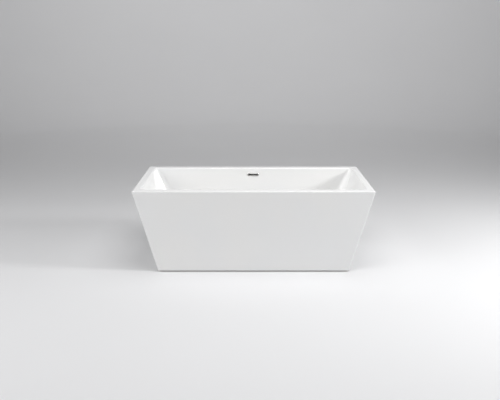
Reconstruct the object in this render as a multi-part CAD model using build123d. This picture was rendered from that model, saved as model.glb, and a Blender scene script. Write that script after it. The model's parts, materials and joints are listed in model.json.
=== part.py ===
from build123d import *
import math
import os

# A freestanding rectangular bathtub: a white acrylic basin with a flat rim, wrapped by a one-piece skirt
# whose two ends lean inwards towards the floor. Behind the skirt the basin stands on a welded steel frame
# with six screw feet, and carries a rectangular overflow, a push-open waste and a trap.
# Millimetres. The origin is on the floor under the middle of the tub, +X runs along it, +Y towards the
# side that has the overflow, +Z up. The six foot pads stand on z = 0.

os.makedirs("parts", exist_ok=True)

# ---------------------------------------------------------------- driving dimensions

LENGTH = 1700.0          # the rim, end to end
WIDTH = 800.0            # the rim, front to back
HEIGHT = 600.0           # floor to the top of the rim
BASE_LENGTH = 1375.0     # the skirt at floor level, end to end
BASE_WIDTH = 788.0       # the skirt at floor level, front to back
SKIRT_GAP = 8.0          # floor to the skirt's lower edge
CORNER_RADIUS = 8.0      # the skirt's four upright edges
SKIRT_EDGE = 1.5         # the skirt's lower edge

SHEET = 5.0              # acrylic of the basin and the skirt
GLASSFIBRE = 3.0         # reinforcement laid on the basin's underside
LIP = 15.0               # the rim's down-turned edge
RIM_OUTER_RADIUS = 5.0
RIM_INNER_RADIUS = 8.0

END_RIM = 50.0           # flat rim at each end
SIDE_RIM = 62.0          # flat rim along each side
BASIN_DEPTH = 430.0      # rim to basin floor
END_WALL_ANGLE = 18.0    # back rests, from upright
SIDE_WALL_ANGLE = 6.0    # long walls, from upright
TOP_CORNER = 30.0        # basin corner radius at the rim
FLOOR_CORNER = 150.0     # basin corner radius at the floor
FLOOR_BLEND = 110.0      # walls into floor

WASTE_Y = 130.0          # the waste is on the short centre line, towards the overflow
RECESS_RADIUS = 44.0     # shallow seat round the waste
RECESS_DEPTH = 4.0
WASTE_HOLE = 25.5        # radius of the hole in the basin floor

OVERFLOW_DROP = 53.0     # rim to the middle of the overflow
OVERFLOW_HOLE = (84.0, 16.0)

BOARD = (1150.0, 420.0, 16.0)
BOARD_CORNER = 60.0
BOARD_CUT_OUT = 60.0     # radius of the cut-out round the waste
BOARD_NOTCH = 30.0       # half width of the notch for the overflow pipe
TUBE = 30.0              # square frame tube
TUBE_WALL = 2.0
END_CROSS_X = 520.0
MID_CROSS_X = 250.0
END_CROSS_LENGTH = 760.0
MID_CROSS_LENGTH = 600.0
RAIL_Y = 285.0
RAIL_LENGTH = 1120.0
POST = 20.0
POST_WALL = 1.5
POST_Y = 365.0
POST_PLATE = (25.0, 14.0, 22.0, 3.0)     # half length, reach inwards, reach outwards, thickness
RIM_BATTEN = 23.0        # height of the strips under the rim
BATTEN = 18.0            # plywood strips behind the skirt's lower edge
BATTEN_HEIGHT = 40.0
BATTEN_RISE = 6.0        # skirt's lower edge to the strips' underside

FOOT_X = (-END_CROSS_X, 0.0, END_CROSS_X)
STUD_RADIUS = 5.9        # M12 screw, clear in its 12 mm nuts
THREAD_BORE = 6.0
PAD_RADIUS = 24.0
M12_FLATS = 19.0
M12_NUT = 10.0           # nut height

TRAP_PIPE = (21.0, 18.0)       # outer and inner radius
TAIL_PIPE = (20.0, 17.5)
OVERFLOW_PIPE = (16.0, 14.0)
SOCKET = (19.0, 16.05)         # outer and inner radius of a socket for the overflow pipe

# ---------------------------------------------------------------- worked-out places

WIDEST_Z = HEIGHT - RIM_OUTER_RADIUS
END_TAPER = (LENGTH - BASE_LENGTH) / 2 / WIDEST_Z
SIDE_TAPER = (WIDTH - BASE_WIDTH) / 2 / WIDEST_Z
SEAM_Z = HEIGHT - LIP
RIM_UNDER_Z = HEIGHT - SHEET
FLOOR_Z = HEIGHT - BASIN_DEPTH
SHELL = SHEET + GLASSFIBRE
BOARD_TOP_Z = FLOOR_Z - SHELL
BOARD_LOW_Z = BOARD_TOP_Z - BOARD[2]
CROSS_LOW_Z = BOARD_LOW_Z - TUBE
RAIL_LOW_Z = CROSS_LOW_Z - TUBE
RIM_BATTEN_LOW_Z = RIM_UNDER_Z - RIM_BATTEN
GLASSFIBRE_TOP_Z = RIM_UNDER_Z - 7.0
SEAT_Z = FLOOR_Z - RECESS_DEPTH
UNDER_SEAT_Z = SEAT_Z - SHELL
OPEN = 1.0               # how far a cutting solid runs past the face that it opens


def skirt_half_length(z, inset=0.0):
    """Half the skirt's length at height z, with its face moved in by inset."""
    return LENGTH / 2 - (WIDEST_Z - z) * END_TAPER - inset * math.hypot(1, END_TAPER)


def skirt_half_width(z, inset=0.0):
    """Half the skirt's width at height z, with its face moved in by inset."""
    return WIDTH / 2 - (WIDEST_Z - z) * SIDE_TAPER - inset * math.hypot(1, SIDE_TAPER)


def skirt_form(z_low, z_high, inset):
    """The space inside the skirt's faces moved in by inset, between two heights."""
    def slice_of(half):
        low, high = half(z_low, inset), half(z_high, inset)
        return make_face(Polyline((-low, z_low), (low, z_low), (high, z_high), (-high, z_high), close=True))

    along_y = extrude(Plane.XZ * slice_of(skirt_half_length), amount=WIDTH, both=True)
    along_x = extrude(Plane.YZ * slice_of(skirt_half_width), amount=LENGTH, both=True)
    block = along_y & along_x
    upright = block.edges().filter_by(lambda e: abs((e % 0.5).Z) > 0.5)
    return fillet(upright, max(CORNER_RADIUS - inset, 1.0))


def basin_half_sizes(z, grow):
    """Half length, half width and corner radius of the basin at height z, its faces moved out by grow."""
    down = HEIGHT - z
    end, side = math.radians(END_WALL_ANGLE), math.radians(SIDE_WALL_ANGLE)
    half_length = LENGTH / 2 - END_RIM - down * math.tan(end) + grow / math.cos(end)
    half_width = WIDTH / 2 - SIDE_RIM - down * math.tan(side) + grow / math.cos(side)
    corner = TOP_CORNER + (FLOOR_CORNER - TOP_CORNER) * down / BASIN_DEPTH + grow
    return half_length, half_width, corner


def basin_form(z_high, grow):
    """The basin's hollow as a solid up to z_high, its faces moved out by grow."""
    z_low = FLOOR_Z - grow
    sections = []
    for z in (z_low, z_high):
        half_length, half_width, corner = basin_half_sizes(z, grow)
        sections.append(Pos(0, 0, z) * RectangleRounded(2 * half_length, 2 * half_width, corner))
    walls = loft(sections, ruled=True)
    hollow = fillet(walls.faces().sort_by(Axis.Z)[0].edges(), FLOOR_BLEND + grow)
    seat = Pos(0, WASTE_Y, SEAT_Z - grow) * Cylinder(
        RECESS_RADIUS + grow, RECESS_DEPTH + OPEN, align=(Align.CENTER, Align.CENTER, Align.MIN))
    return hollow + seat


def upright_cylinder(x, y, z_low, z_high, radius):
    """A cylinder that stands at x, y between two heights."""
    return Pos(x, y, z_low) * Cylinder(
        radius, z_high - z_low, align=(Align.CENTER, Align.CENTER, Align.MIN))


def ring(x, y, z_low, z_high, outer, inner):
    """An upright tube at x, y between two heights."""
    return upright_cylinder(x, y, z_low, z_high, outer) - upright_cylinder(x, y, z_low, z_high, inner)


def block(x_low, x_high, y_low, y_high, z_low, z_high):
    """A box between six planes."""
    return Pos((x_low + x_high) / 2, (y_low + y_high) / 2, (z_low + z_high) / 2) * Box(
        x_high - x_low, y_high - y_low, z_high - z_low)


def pipe(path, outer, inner):
    """A round pipe along a path of lines and arcs."""
    section = Plane(origin=path @ 0, z_dir=path % 0) * (Circle(outer) - Circle(inner))
    return sweep(section, path=path)


def square_tube(length, size, wall):
    """A square tube along +X, centred on the origin."""
    outer = Box(length, size, size)
    return outer - Box(length + 2 * OPEN, size - 2 * wall, size - 2 * wall)


def hexagon(x, y, z_low, z_high, across_flats, bore=0.0):
    """A hexagonal nut or screw head that stands at x, y, with a bore if one is given."""
    flats = Pos(x, y, z_low) * RegularPolygon(across_flats / 2, 6, major_radius=False)
    nut = extrude(flats, z_high - z_low)
    return nut - upright_cylinder(x, y, z_low - OPEN, z_high + OPEN, bore) if bore else nut


def overflow_plane():
    """Local frame on the basin's back wall: x along the tub, y up the wall, z out into the basin."""
    side = math.radians(SIDE_WALL_ANGLE)
    y = WIDTH / 2 - SIDE_RIM - OVERFLOW_DROP * math.tan(side)
    facing = (0, -math.cos(side), math.sin(side))
    return Plane(origin=(0, y, HEIGHT - OVERFLOW_DROP), x_dir=(1, 0, 0), z_dir=facing)


def on_wall(width, height, radius, low, high):
    """A rounded block on the overflow's local frame, between two distances from the wall face."""
    return extrude(overflow_plane() * (Pos(0, 0, low) * RectangleRounded(width, height, radius)), high - low)


def overflow_hole():
    """The square-cornered slot cut through the basin wall; the trim plate covers its corners."""
    low, high = -30.0, 20.0
    return extrude(overflow_plane() * (Pos(0, 0, low) * Rectangle(*OVERFLOW_HOLE)), high - low)


# ---------------------------------------------------------------- the shells

def make_bath_shell():
    """The basin with its flat rim and down-turned lip, formed from one acrylic sheet."""
    lip_and_rim = skirt_form(SEAM_Z, HEIGHT, 0) - skirt_form(SEAM_Z - OPEN, RIM_UNDER_Z, SHEET)
    shell = lip_and_rim + basin_form(RIM_UNDER_Z + OPEN, SHEET) - basin_form(HEIGHT + 10 * OPEN, 0)
    shell = fillet(shell.faces().sort_by(Axis.Z)[-1].outer_wire().edges(), RIM_OUTER_RADIUS)
    shell = fillet(shell.faces().sort_by(Axis.Z)[-1].inner_wires()[0].edges(), RIM_INNER_RADIUS)
    shell -= upright_cylinder(0, WASTE_Y, UNDER_SEAT_Z - OPEN, FLOOR_Z, WASTE_HOLE)
    return shell - overflow_hole()


def make_glassfibre_backing():
    """The glass-fibre layer that covers the basin's underside."""
    layer = basin_form(GLASSFIBRE_TOP_Z, SHELL) - basin_form(HEIGHT, SHEET)
    layer -= upright_cylinder(0, WASTE_Y, UNDER_SEAT_Z - OPEN, FLOOR_Z, WASTE_HOLE)
    return layer - overflow_hole()


def make_skirt():
    """The outer skirt: four walls in one piece, open above and below."""
    wall = skirt_form(SKIRT_GAP, SEAM_Z, 0) - skirt_form(SKIRT_GAP - OPEN, SEAM_Z + OPEN, SHEET)
    lower = wall.faces().sort_by(Axis.Z)[0].outer_wire().edges()
    return fillet(lower, SKIRT_EDGE)


def four_sides(frame_ring, ends):
    """Cuts a ring into front and back strips between x = -ends and x = ends, and left and right strips."""
    far = LENGTH
    middle = block(-ends, ends, -far, far, -1, far)
    return {
        "front": frame_ring & middle & block(-far, far, -far, 0, -1, far),
        "back": frame_ring & middle & block(-far, far, 0, far, -1, far),
        "left": (frame_ring - middle) & block(-far, 0, -far, far, -1, far),
        "right": (frame_ring - middle) & block(0, far, -far, far, -1, far),
    }


def make_rim_battens():
    """Four straight timber strips that fill the space under the rim, between basin and lip."""
    clear = 1.0
    ends, sides, _ = basin_half_sizes(RIM_UNDER_Z, SHELL + clear)
    middle = block(-ends, ends, -sides, sides, RIM_BATTEN_LOW_Z - OPEN, RIM_UNDER_Z + OPEN)
    return four_sides(skirt_form(RIM_BATTEN_LOW_Z, RIM_UNDER_Z, SHEET) - middle, ends)


def make_skirt_battens():
    """Four plywood strips bonded inside the skirt's lower edge."""
    low, high = SKIRT_GAP + BATTEN_RISE, SKIRT_GAP + BATTEN_RISE + BATTEN_HEIGHT
    strip = skirt_form(low, high, SHEET) - skirt_form(low - OPEN, high + OPEN, SHEET + BATTEN)
    return four_sides(strip, skirt_half_length(low, SHEET + BATTEN))


def make_baseboard(screws):
    """The board bonded under the basin floor, notched round the waste and the overflow pipe."""
    length, width, thick = BOARD
    low, high = BOARD_LOW_Z - OPEN, BOARD_TOP_Z + OPEN
    board = extrude(Pos(0, 0, BOARD_LOW_Z) * RectangleRounded(length, width, BOARD_CORNER), thick)
    cut_out = upright_cylinder(0, WASTE_Y, low, high, BOARD_CUT_OUT)
    notch = block(-BOARD_NOTCH, BOARD_NOTCH, WASTE_Y, width, low, high)
    return board - cut_out - notch - screws


# ---------------------------------------------------------------- the frame

def foot_places():
    """Foot number and place: front row from left to right, then back row."""
    places = [(x, y) for y in (-RAIL_Y, RAIL_Y) for x in FOOT_X]
    return list(enumerate(places, start=1))


def make_rail(y):
    """A long frame tube with the three foot nuts welded under it."""
    rail = Pos(0, y, RAIL_LOW_Z + TUBE / 2) * square_tube(RAIL_LENGTH, TUBE, TUBE_WALL)
    for x in FOOT_X:
        rail -= upright_cylinder(x, y, RAIL_LOW_Z - OPEN, RAIL_LOW_Z + TUBE / 2, THREAD_BORE)
        rail += hexagon(x, y, RAIL_LOW_Z - M12_NUT, RAIL_LOW_Z, M12_FLATS, THREAD_BORE)
    return rail


def make_cross_tube(x, length, screws):
    """A frame tube across the tub, on the two rails and under the board."""
    tube = Rot(0, 0, 90) * square_tube(length, TUBE, TUBE_WALL)
    return Pos(x, 0, CROSS_LOW_Z + TUBE / 2) * tube - screws


def make_rim_post(x, y):
    """An upright tube from the frame to the rim batten, with a plate welded on its top."""
    half_length, inwards, outwards, thick = POST_PLATE
    top = RIM_BATTEN_LOW_Z - thick
    height = top - BOARD_LOW_Z
    tube = Pos(x, y, BOARD_LOW_Z + height / 2) * (Rot(0, 90, 0) * square_tube(height, POST, POST_WALL))
    side = 1 if y > 0 else -1
    near, far = sorted((side * (abs(y) - inwards), side * (abs(y) + outwards)))
    return tube + block(x - half_length, x + half_length, near, far, top, RIM_BATTEN_LOW_Z)


def end_cap(size, wall):
    """A plastic plug for a square tube's end: its cover faces +X at the origin."""
    cover_thick, edge, depth, plug_wall = 2.5, 1.2, 12.0, 2.0
    cover = Pos(cover_thick / 2, 0, 0) * Box(cover_thick, size, size)
    cover = fillet(cover.faces().sort_by(Axis.X)[-1].edges(), edge)
    inside, hollow = size - 2 * wall, size - 2 * wall - 2 * plug_wall
    return cover + Pos(-depth / 2, 0, 0) * (Box(depth, inside, inside) - Box(depth, hollow, hollow))


def make_tube_end_caps():
    """A plug in every open end of the rails and the cross tubes."""
    caps = []
    for side in (-1, 1):
        turn = 0 if side > 0 else 180
        for y in (-RAIL_Y, RAIL_Y):
            caps.append(Pos(side * RAIL_LENGTH / 2, y, RAIL_LOW_Z + TUBE / 2) * Rot(0, 0, turn))
        for x, length in ((END_CROSS_X, END_CROSS_LENGTH), (MID_CROSS_X, MID_CROSS_LENGTH)):
            for at in (-x, x):
                caps.append(Pos(at, side * length / 2, CROSS_LOW_Z + TUBE / 2) * Rot(0, 0, turn + 90))
    cap = end_cap(TUBE, TUBE_WALL)
    return Compound([place * cap for place in caps])


SCREW_FLATS = 10.0
BITE = 12.0              # how far a screw reaches into what it holds
BOARD_SCREW_Y = 120.0
BOARD_SCREW_HEAD = 4.0
BOARD_SCREW_RADIUS = 3.0


def make_board_screws():
    """Hexagon-headed screws up through each cross tube into the board."""
    screws = []
    for x in (-END_CROSS_X, -MID_CROSS_X, MID_CROSS_X, END_CROSS_X):
        for y in (-BOARD_SCREW_Y, BOARD_SCREW_Y):
            head = hexagon(x, y, CROSS_LOW_Z - BOARD_SCREW_HEAD, CROSS_LOW_Z, SCREW_FLATS)
            shank = upright_cylinder(x, y, CROSS_LOW_Z, BOARD_LOW_Z + BITE, BOARD_SCREW_RADIUS)
            screws.append(head + shank)
    return Compound(screws)


BRACKET_THICK = 3.0
BRACKET_Y = 368.0        # inner face of the bracket's upright leg
BRACKET_START_Y = 334.0  # inner end of the bracket's flat leg
BRACKET_WIDTH = 30.0
BRACKET_BEND = 4.0
BRACKET_BELOW_SCREW = 14.0
BRACKET_SCREW_Z = 34.0
BRACKET_TOP_SCREW_Y = 350.0
BRACKET_SCREW_HEAD = 3.0
BRACKET_SCREW_RADIUS = 2.5


def make_brackets(screws):
    """Four bent straps from the end cross tubes down to the skirt battens."""
    half, outer_y = BRACKET_WIDTH / 2, BRACKET_Y + BRACKET_THICK
    flat = block(-half, half, BRACKET_START_Y, outer_y, CROSS_LOW_Z - BRACKET_THICK, CROSS_LOW_Z)
    upright = block(-half, half, BRACKET_Y, outer_y, BRACKET_SCREW_Z - BRACKET_BELOW_SCREW, CROSS_LOW_Z)
    strap = flat + upright
    bend = strap.edges().filter_by(Axis.X).sort_by(lambda e: e.center().Y + e.center().Z)[-1]
    strap = fillet(bend, BRACKET_BEND)
    straps = []
    for x in (-END_CROSS_X, END_CROSS_X):
        for turn in (0, 180):
            straps.append(Pos(x, 0, 0) * Rot(0, 0, turn) * strap - screws)
    return Compound(straps)


def make_bracket_screws():
    """Two screws for each bracket: one up into the cross tube, one out into the batten."""
    head_top = CROSS_LOW_Z - BRACKET_THICK
    up = hexagon(0, BRACKET_TOP_SCREW_Y, head_top - BOARD_SCREW_HEAD, head_top, SCREW_FLATS)
    up += upright_cylinder(0, BRACKET_TOP_SCREW_Y, head_top, CROSS_LOW_Z + BITE, BRACKET_SCREW_RADIUS)
    under_head = (0, BRACKET_Y - BRACKET_SCREW_HEAD, BRACKET_SCREW_Z)
    head_face = Plane(origin=under_head, x_dir=(1, 0, 0), z_dir=(0, 1, 0))
    head = extrude(head_face * RegularPolygon(SCREW_FLATS / 2, 6, major_radius=False), BRACKET_SCREW_HEAD)
    length = BRACKET_SCREW_HEAD + BRACKET_THICK + BITE
    out = head + extrude(head_face * Circle(BRACKET_SCREW_RADIUS), length)
    screws = []
    for x in (-END_CROSS_X, END_CROSS_X):
        for turn in (0, 180):
            screws += [Pos(x, 0, 0) * Rot(0, 0, turn) * screw for screw in (up, out)]
    return Compound(screws)


# ---------------------------------------------------------------- the screw feet

PAD_HEIGHT = 14.0
PAD_EDGE = 5.0           # height of the pad's rim
PAD_SHOULDER_Z = 10.0    # where the cone meets the neck
PAD_NECK = 11.0          # neck radius
PAD_SOCKET_Z = 3.0
PLAY = 0.1               # running clearance of the screw in the pad
COLLAR_Z = (16.0, 22.0)
COLLAR_FLATS = 17.0
STUD_TOP_Z = RAIL_LOW_Z + 18.0
LOCK_NUT_Z = (RAIL_LOW_Z - 2 * M12_NUT, RAIL_LOW_Z - M12_NUT)


def make_foot_pad(x, y):
    """A moulded foot pad with a blind socket that the screw turns in."""
    bevel = 1.0
    outline = Polyline(
        (0, 0), (PAD_RADIUS - bevel, 0), (PAD_RADIUS, bevel), (PAD_RADIUS, PAD_EDGE),
        (PAD_NECK, PAD_SHOULDER_Z), (PAD_NECK, PAD_HEIGHT), (0, PAD_HEIGHT), close=True)
    pad = revolve(Plane.XZ * make_face(outline), Axis.Z)
    socket = upright_cylinder(0, 0, PAD_SOCKET_Z, PAD_HEIGHT + OPEN, THREAD_BORE + PLAY)
    return Pos(x, y, 0) * (pad - socket)


def make_foot_stud(x, y):
    """The foot's screw: a threaded rod with a hexagon collar for a spanner."""
    rod = upright_cylinder(x, y, PAD_SOCKET_Z + PLAY, STUD_TOP_Z, STUD_RADIUS)
    rod = chamfer(rod.faces().sort_by(Axis.Z)[-1].edges(), 1)
    return rod + hexagon(x, y, *COLLAR_Z, COLLAR_FLATS)


def make_lock_nuts():
    """The nut that locks each foot screw against its welded nut."""
    return Compound([hexagon(x, y, *LOCK_NUT_Z, M12_FLATS, THREAD_BORE) for _, (x, y) in foot_places()])


# ---------------------------------------------------------------- the waste

FLANGE_RADIUS = 35.0
FLANGE_EDGE = 1.5
FLANGE_ARM = 3.5               # width of the cross's arms
HUB = (4.0, 2.5)               # height and wall of the ring that holds the cartridge
NECK = (24.5, 22.0)            # outer and inner radius
WASHER = 1.5
FLANGE_Z = (SEAT_Z + WASHER, SEAT_Z + WASHER + 3)
BODY_FLANGE = (40.0, 5.0)      # radius and thickness
BODY_TOP_Z = UNDER_SEAT_Z - 3
NECK_LOW_Z = BODY_TOP_Z - BODY_FLANGE[1]
BARREL = (31.0, 27.0)
BARREL_LOW_Z = 112.0
SPIGOT_LOW_Z = 92.0
PORT_Z = 134.0
PORT_END_Y = WASTE_Y + 50.0
CARTRIDGE = (10.0, 8.0)
CARTRIDGE_Z = (NECK_LOW_Z - 34, NECK_LOW_Z + 4)
CAP_RADIUS = 31.0
CAP_HEIGHT = 5.0
CAP_EDGE = 1.5
STEM_RADIUS = 4.0
STEM_LOW_Z = CARTRIDGE_Z[0] + 12.0
SPRING_Z = (CARTRIDGE_Z[0] + 2.0, CARTRIDGE_Z[0] + 11.6)


def make_waste_flange():
    """The metal flange in the basin floor: lip, threaded neck and a cross that holds the cartridge."""
    flange = ring(0, WASTE_Y, *FLANGE_Z, FLANGE_RADIUS, NECK[1])
    hub_height, hub_wall = HUB
    flange = fillet(flange.faces().sort_by(Axis.Z)[-1].outer_wire().edges(), FLANGE_EDGE)
    flange += ring(0, WASTE_Y, NECK_LOW_Z, FLANGE_Z[0], *NECK)
    arm = Box(2 * NECK[1] + 2 * OPEN, FLANGE_ARM, hub_height)
    for turn in (45, 135):
        flange += Pos(0, WASTE_Y, NECK_LOW_Z + hub_height / 2) * Rot(0, 0, turn) * arm
    hub_top = NECK_LOW_Z + hub_height
    flange += upright_cylinder(0, WASTE_Y, NECK_LOW_Z, hub_top, CARTRIDGE[0] + hub_wall)
    return flange - upright_cylinder(0, WASTE_Y, NECK_LOW_Z - OPEN, hub_top + OPEN, CARTRIDGE[0] + PLAY / 2)


def make_waste_body():
    """The moulded waste body: flange, barrel, side port for the overflow and a spigot for the trap."""
    floor_top = BARREL_LOW_Z + 4
    body = upright_cylinder(0, WASTE_Y, NECK_LOW_Z, BODY_TOP_Z, BODY_FLANGE[0])
    body += upright_cylinder(0, WASTE_Y, BARREL_LOW_Z, NECK_LOW_Z, BARREL[0])
    body += upright_cylinder(0, WASTE_Y, SPIGOT_LOW_Z, BARREL_LOW_Z, TRAP_PIPE[0])
    port = Plane(origin=(0, WASTE_Y, PORT_Z), x_dir=(1, 0, 0), z_dir=(0, 1, 0))
    body += extrude(port * Circle(SOCKET[0]), PORT_END_Y - WASTE_Y)
    body -= upright_cylinder(0, WASTE_Y, NECK_LOW_Z, BODY_TOP_Z + OPEN, NECK[0] + PLAY)
    body -= upright_cylinder(0, WASTE_Y, floor_top, NECK_LOW_Z, BARREL[1])
    body -= upright_cylinder(0, WASTE_Y, SPIGOT_LOW_Z - OPEN, floor_top, TRAP_PIPE[1])
    return body - extrude(port * Circle(SOCKET[1]), PORT_END_Y - WASTE_Y + OPEN)


def make_popup_cap():
    """The domed cap of the push-open plug."""
    low, top = FLANGE_Z[1] + WASHER, FLANGE_Z[1] + WASHER + CAP_HEIGHT
    crown = CAP_HEIGHT - CAP_EDGE
    dome_radius = (CAP_RADIUS ** 2 + crown ** 2) / (2 * crown)
    dome = Pos(0, WASTE_Y, top - dome_radius) * Sphere(dome_radius)
    return upright_cylinder(0, WASTE_Y, low, top, CAP_RADIUS) & dome


def make_popup_stem():
    """The plug's stem, with the collar that the spring lifts."""
    stem = upright_cylinder(0, WASTE_Y, STEM_LOW_Z, FLANGE_Z[1] + WASHER, STEM_RADIUS)
    return stem + upright_cylinder(0, WASTE_Y, STEM_LOW_Z, STEM_LOW_Z + 3, CARTRIDGE[1] - 0.3)


def make_popup_cartridge():
    """The closed barrel that guides the stem and holds the spring."""
    low, high = CARTRIDGE_Z
    barrel = upright_cylinder(0, WASTE_Y, low, high, CARTRIDGE[0])
    barrel -= upright_cylinder(0, WASTE_Y, low + 2, high - 3, CARTRIDGE[1])
    return barrel - upright_cylinder(0, WASTE_Y, high - 4, high + 1, STEM_RADIUS + 0.1)


def make_popup_spring():
    """The coil spring under the stem's collar, pressed nearly solid while the plug is shut."""
    wire, turns, coil = 0.8, 4, 6.0
    low, high = SPRING_Z
    rise = high - low - 2 * wire
    path = Helix(pitch=rise / turns, height=rise, radius=coil)
    section = Plane(origin=path @ 0, z_dir=path % 0) * Circle(wire)
    return Pos(0, WASTE_Y, low + wire) * sweep(section, path=path, is_frenet=True)


# ---------------------------------------------------------------- the trap

TRAP_BEND = 34.0
TRAP_TURN = 30.0
U_Z = 74.0
TRAP_RUN_Z = U_Z + TRAP_TURN
TRAP_END_X = -150.0
OUTLET_X = -200.0
TAIL_TOP_Z = 62.0
TAIL_LOW_Z = 8.0
NUT_RADIUS = 28.0
NUT_LENGTH = 18.0
NUT_BEVEL = 1.5
NUT_SIDES = 12
TAIL_GRIP = 0.6          # how much thinner the tail's wall is inside its nut


def trap_plane():
    """The upright plane that the trap and its outlet lie in: local x along the tub, local y up."""
    return Plane(origin=(0, WASTE_Y, 0), x_dir=(1, 0, 0), z_dir=(0, -1, 0))


def make_trap_body():
    """The trap's U-bend, from the waste body's spigot to the level outlet."""
    u_far = -2 * TRAP_BEND
    path = (Line((0, SPIGOT_LOW_Z), (0, U_Z))
            + CenterArc((-TRAP_BEND, U_Z), TRAP_BEND, 0, -180)
            + CenterArc((u_far - TRAP_TURN, U_Z), TRAP_TURN, 0, 90)
            + Line((u_far - TRAP_TURN, TRAP_RUN_Z), (TRAP_END_X, TRAP_RUN_Z)))
    return pipe(trap_plane() * Wire(path.edges()), *TRAP_PIPE)


def make_outlet_elbow():
    """The bend that turns the trap's outlet down to the floor."""
    turn_x = OUTLET_X + TRAP_TURN
    path = (Line((TRAP_END_X, TRAP_RUN_Z), (turn_x, TRAP_RUN_Z))
            + CenterArc((turn_x, TRAP_RUN_Z - TRAP_TURN), TRAP_TURN, 90, 90)
            + Line((OUTLET_X, TRAP_RUN_Z - TRAP_TURN), (OUTLET_X, TAIL_TOP_Z)))
    return pipe(trap_plane() * Wire(path.edges()), *TRAP_PIPE)


def make_outlet_tail():
    """The straight pipe that drops into the floor drain, narrowed where its nut grips it."""
    grip = TAIL_TOP_Z - NUT_LENGTH / 2 - 1
    tail = ring(OUTLET_X, WASTE_Y, TAIL_LOW_Z, grip, *TAIL_PIPE)
    return tail + ring(OUTLET_X, WASTE_Y, grip, TAIL_TOP_Z, TAIL_PIPE[0] - TAIL_GRIP, TAIL_PIPE[1])


def slip_nut(radius, bore, length=NUT_LENGTH):
    """A plastic slip nut along +Z, centred on the origin, with twelve flats."""
    nut = extrude(Pos(0, 0, -length / 2) * RegularPolygon(radius, NUT_SIDES), length)
    nut = chamfer(nut.faces().sort_by(Axis.Z)[-1].edges(), NUT_BEVEL)
    return nut - Cylinder(bore, length + 2 * OPEN)


def make_trap_slip_nuts():
    """The three nuts that join the trap to the waste body, the outlet bend and the tail."""
    nut = slip_nut(NUT_RADIUS, TRAP_PIPE[0] + PLAY)
    places = [
        Pos(0, WASTE_Y, SPIGOT_LOW_Z),
        Pos(TRAP_END_X, WASTE_Y, TRAP_RUN_Z) * Rot(0, 90, 0),
        Pos(OUTLET_X, WASTE_Y, TAIL_TOP_Z) * Rot(180, 0, 0),
    ]
    return Compound([place * nut for place in places])


# ---------------------------------------------------------------- the overflow

TRIM = (90.0, 21.0, 3.0)       # width, height and thickness
TRIM_CORNER = 3.0
TRIM_EDGE = 1.2
TRIM_SLOT = (78.0, 11.5)
SLOT_CORNER = 4.0
COLLAR_END = -14.0             # how far the plate's collar reaches behind the wall's face
SEAL = 3.0                     # thickness of the overflow's seal
CHAMBER = (104.0, 44.0, 4.0)   # the chamber's flange: width, height and thickness
SEAL_HEIGHT = 40.0
CHAMBER_BOX = (92.0, 34.0, 30.0)         # width, height and depth behind the seal
CHAMBER_HOLLOW = (86.0, 28.0, 27.0)
UPRIGHT_Y = 366.0
UPRIGHT_TOP_Z = 508.0
SPIGOT_TOP = 530.0
OVERFLOW_SPIGOT_LOW_Z = 488.0
ELBOW_BEND = 30.0
ELBOW_STRAIGHT = 13.0
SMALL_NUT = (21.8, 14.0)       # radius and length of the overflow's slip nuts
PIPE_STOP = 1.0                # gap between a pipe's end and the bend inside its socket
LOWER_PIPE_START_Y = WASTE_Y + BARREL[0] + 7


def make_overflow_trim():
    """The metal overflow plate, with a slot and a collar that passes through the wall."""
    width, height, thick = TRIM
    plate = on_wall(width, height, TRIM_CORNER, 0, thick)
    plate = fillet(plate.faces().sort_by(Axis.Y)[0].outer_wire().edges(), TRIM_EDGE)
    collar = on_wall(OVERFLOW_HOLE[0] - 2, OVERFLOW_HOLE[1] - 1, TRIM_CORNER, COLLAR_END, 0)
    return plate + collar - on_wall(*TRIM_SLOT, SLOT_CORNER, COLLAR_END - OPEN, thick + OPEN)


def make_overflow_gasket():
    """The rubber seal between the overflow body and the back of the basin."""
    seal = on_wall(CHAMBER[0], SEAL_HEIGHT, 6, -SHELL - SEAL, -SHELL)
    return seal - on_wall(OVERFLOW_HOLE[0], OVERFLOW_HOLE[1] + 1, TRIM_CORNER, -20, 0)


def make_overflow_body():
    """The moulded chamber behind the overflow, with a socket that points straight down."""
    front = -SHELL - SEAL
    box_front = front - CHAMBER[2]
    body = on_wall(CHAMBER[0], CHAMBER[1], 6, box_front, front)
    body += on_wall(CHAMBER_BOX[0], CHAMBER_BOX[1], 8, front - CHAMBER_BOX[2], box_front)
    body += upright_cylinder(0, UPRIGHT_Y, OVERFLOW_SPIGOT_LOW_Z, SPIGOT_TOP, SOCKET[0])
    body -= on_wall(OVERFLOW_HOLE[0], OVERFLOW_HOLE[1] + 1, TRIM_CORNER, box_front - OPEN, front + OPEN)
    body -= on_wall(CHAMBER_HOLLOW[0], CHAMBER_HOLLOW[1], 5, front - CHAMBER_HOLLOW[2], box_front)
    way_down = upright_cylinder(0, UPRIGHT_Y, UPRIGHT_TOP_Z, SPIGOT_TOP + 8, OVERFLOW_PIPE[1] - 2)
    socket = upright_cylinder(0, UPRIGHT_Y, OVERFLOW_SPIGOT_LOW_Z - OPEN, UPRIGHT_TOP_Z, SOCKET[1])
    return body - way_down - socket


def make_overflow_elbow():
    """The bend under the upright pipe, with a socket at each end."""
    start_y = UPRIGHT_Y - ELBOW_BEND - ELBOW_STRAIGHT
    side_view = Plane(origin=(0, 0, 0), x_dir=(0, 1, 0), z_dir=(1, 0, 0))
    path = (Line((start_y, PORT_Z), (UPRIGHT_Y - ELBOW_BEND, PORT_Z))
            + CenterArc((UPRIGHT_Y - ELBOW_BEND, PORT_Z + ELBOW_BEND), ELBOW_BEND, -90, 90)
            + Line((UPRIGHT_Y, PORT_Z + ELBOW_BEND), (UPRIGHT_Y, PORT_Z + ELBOW_BEND + ELBOW_STRAIGHT)))
    return pipe(side_view * Wire(path.edges()), *SOCKET)


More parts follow.
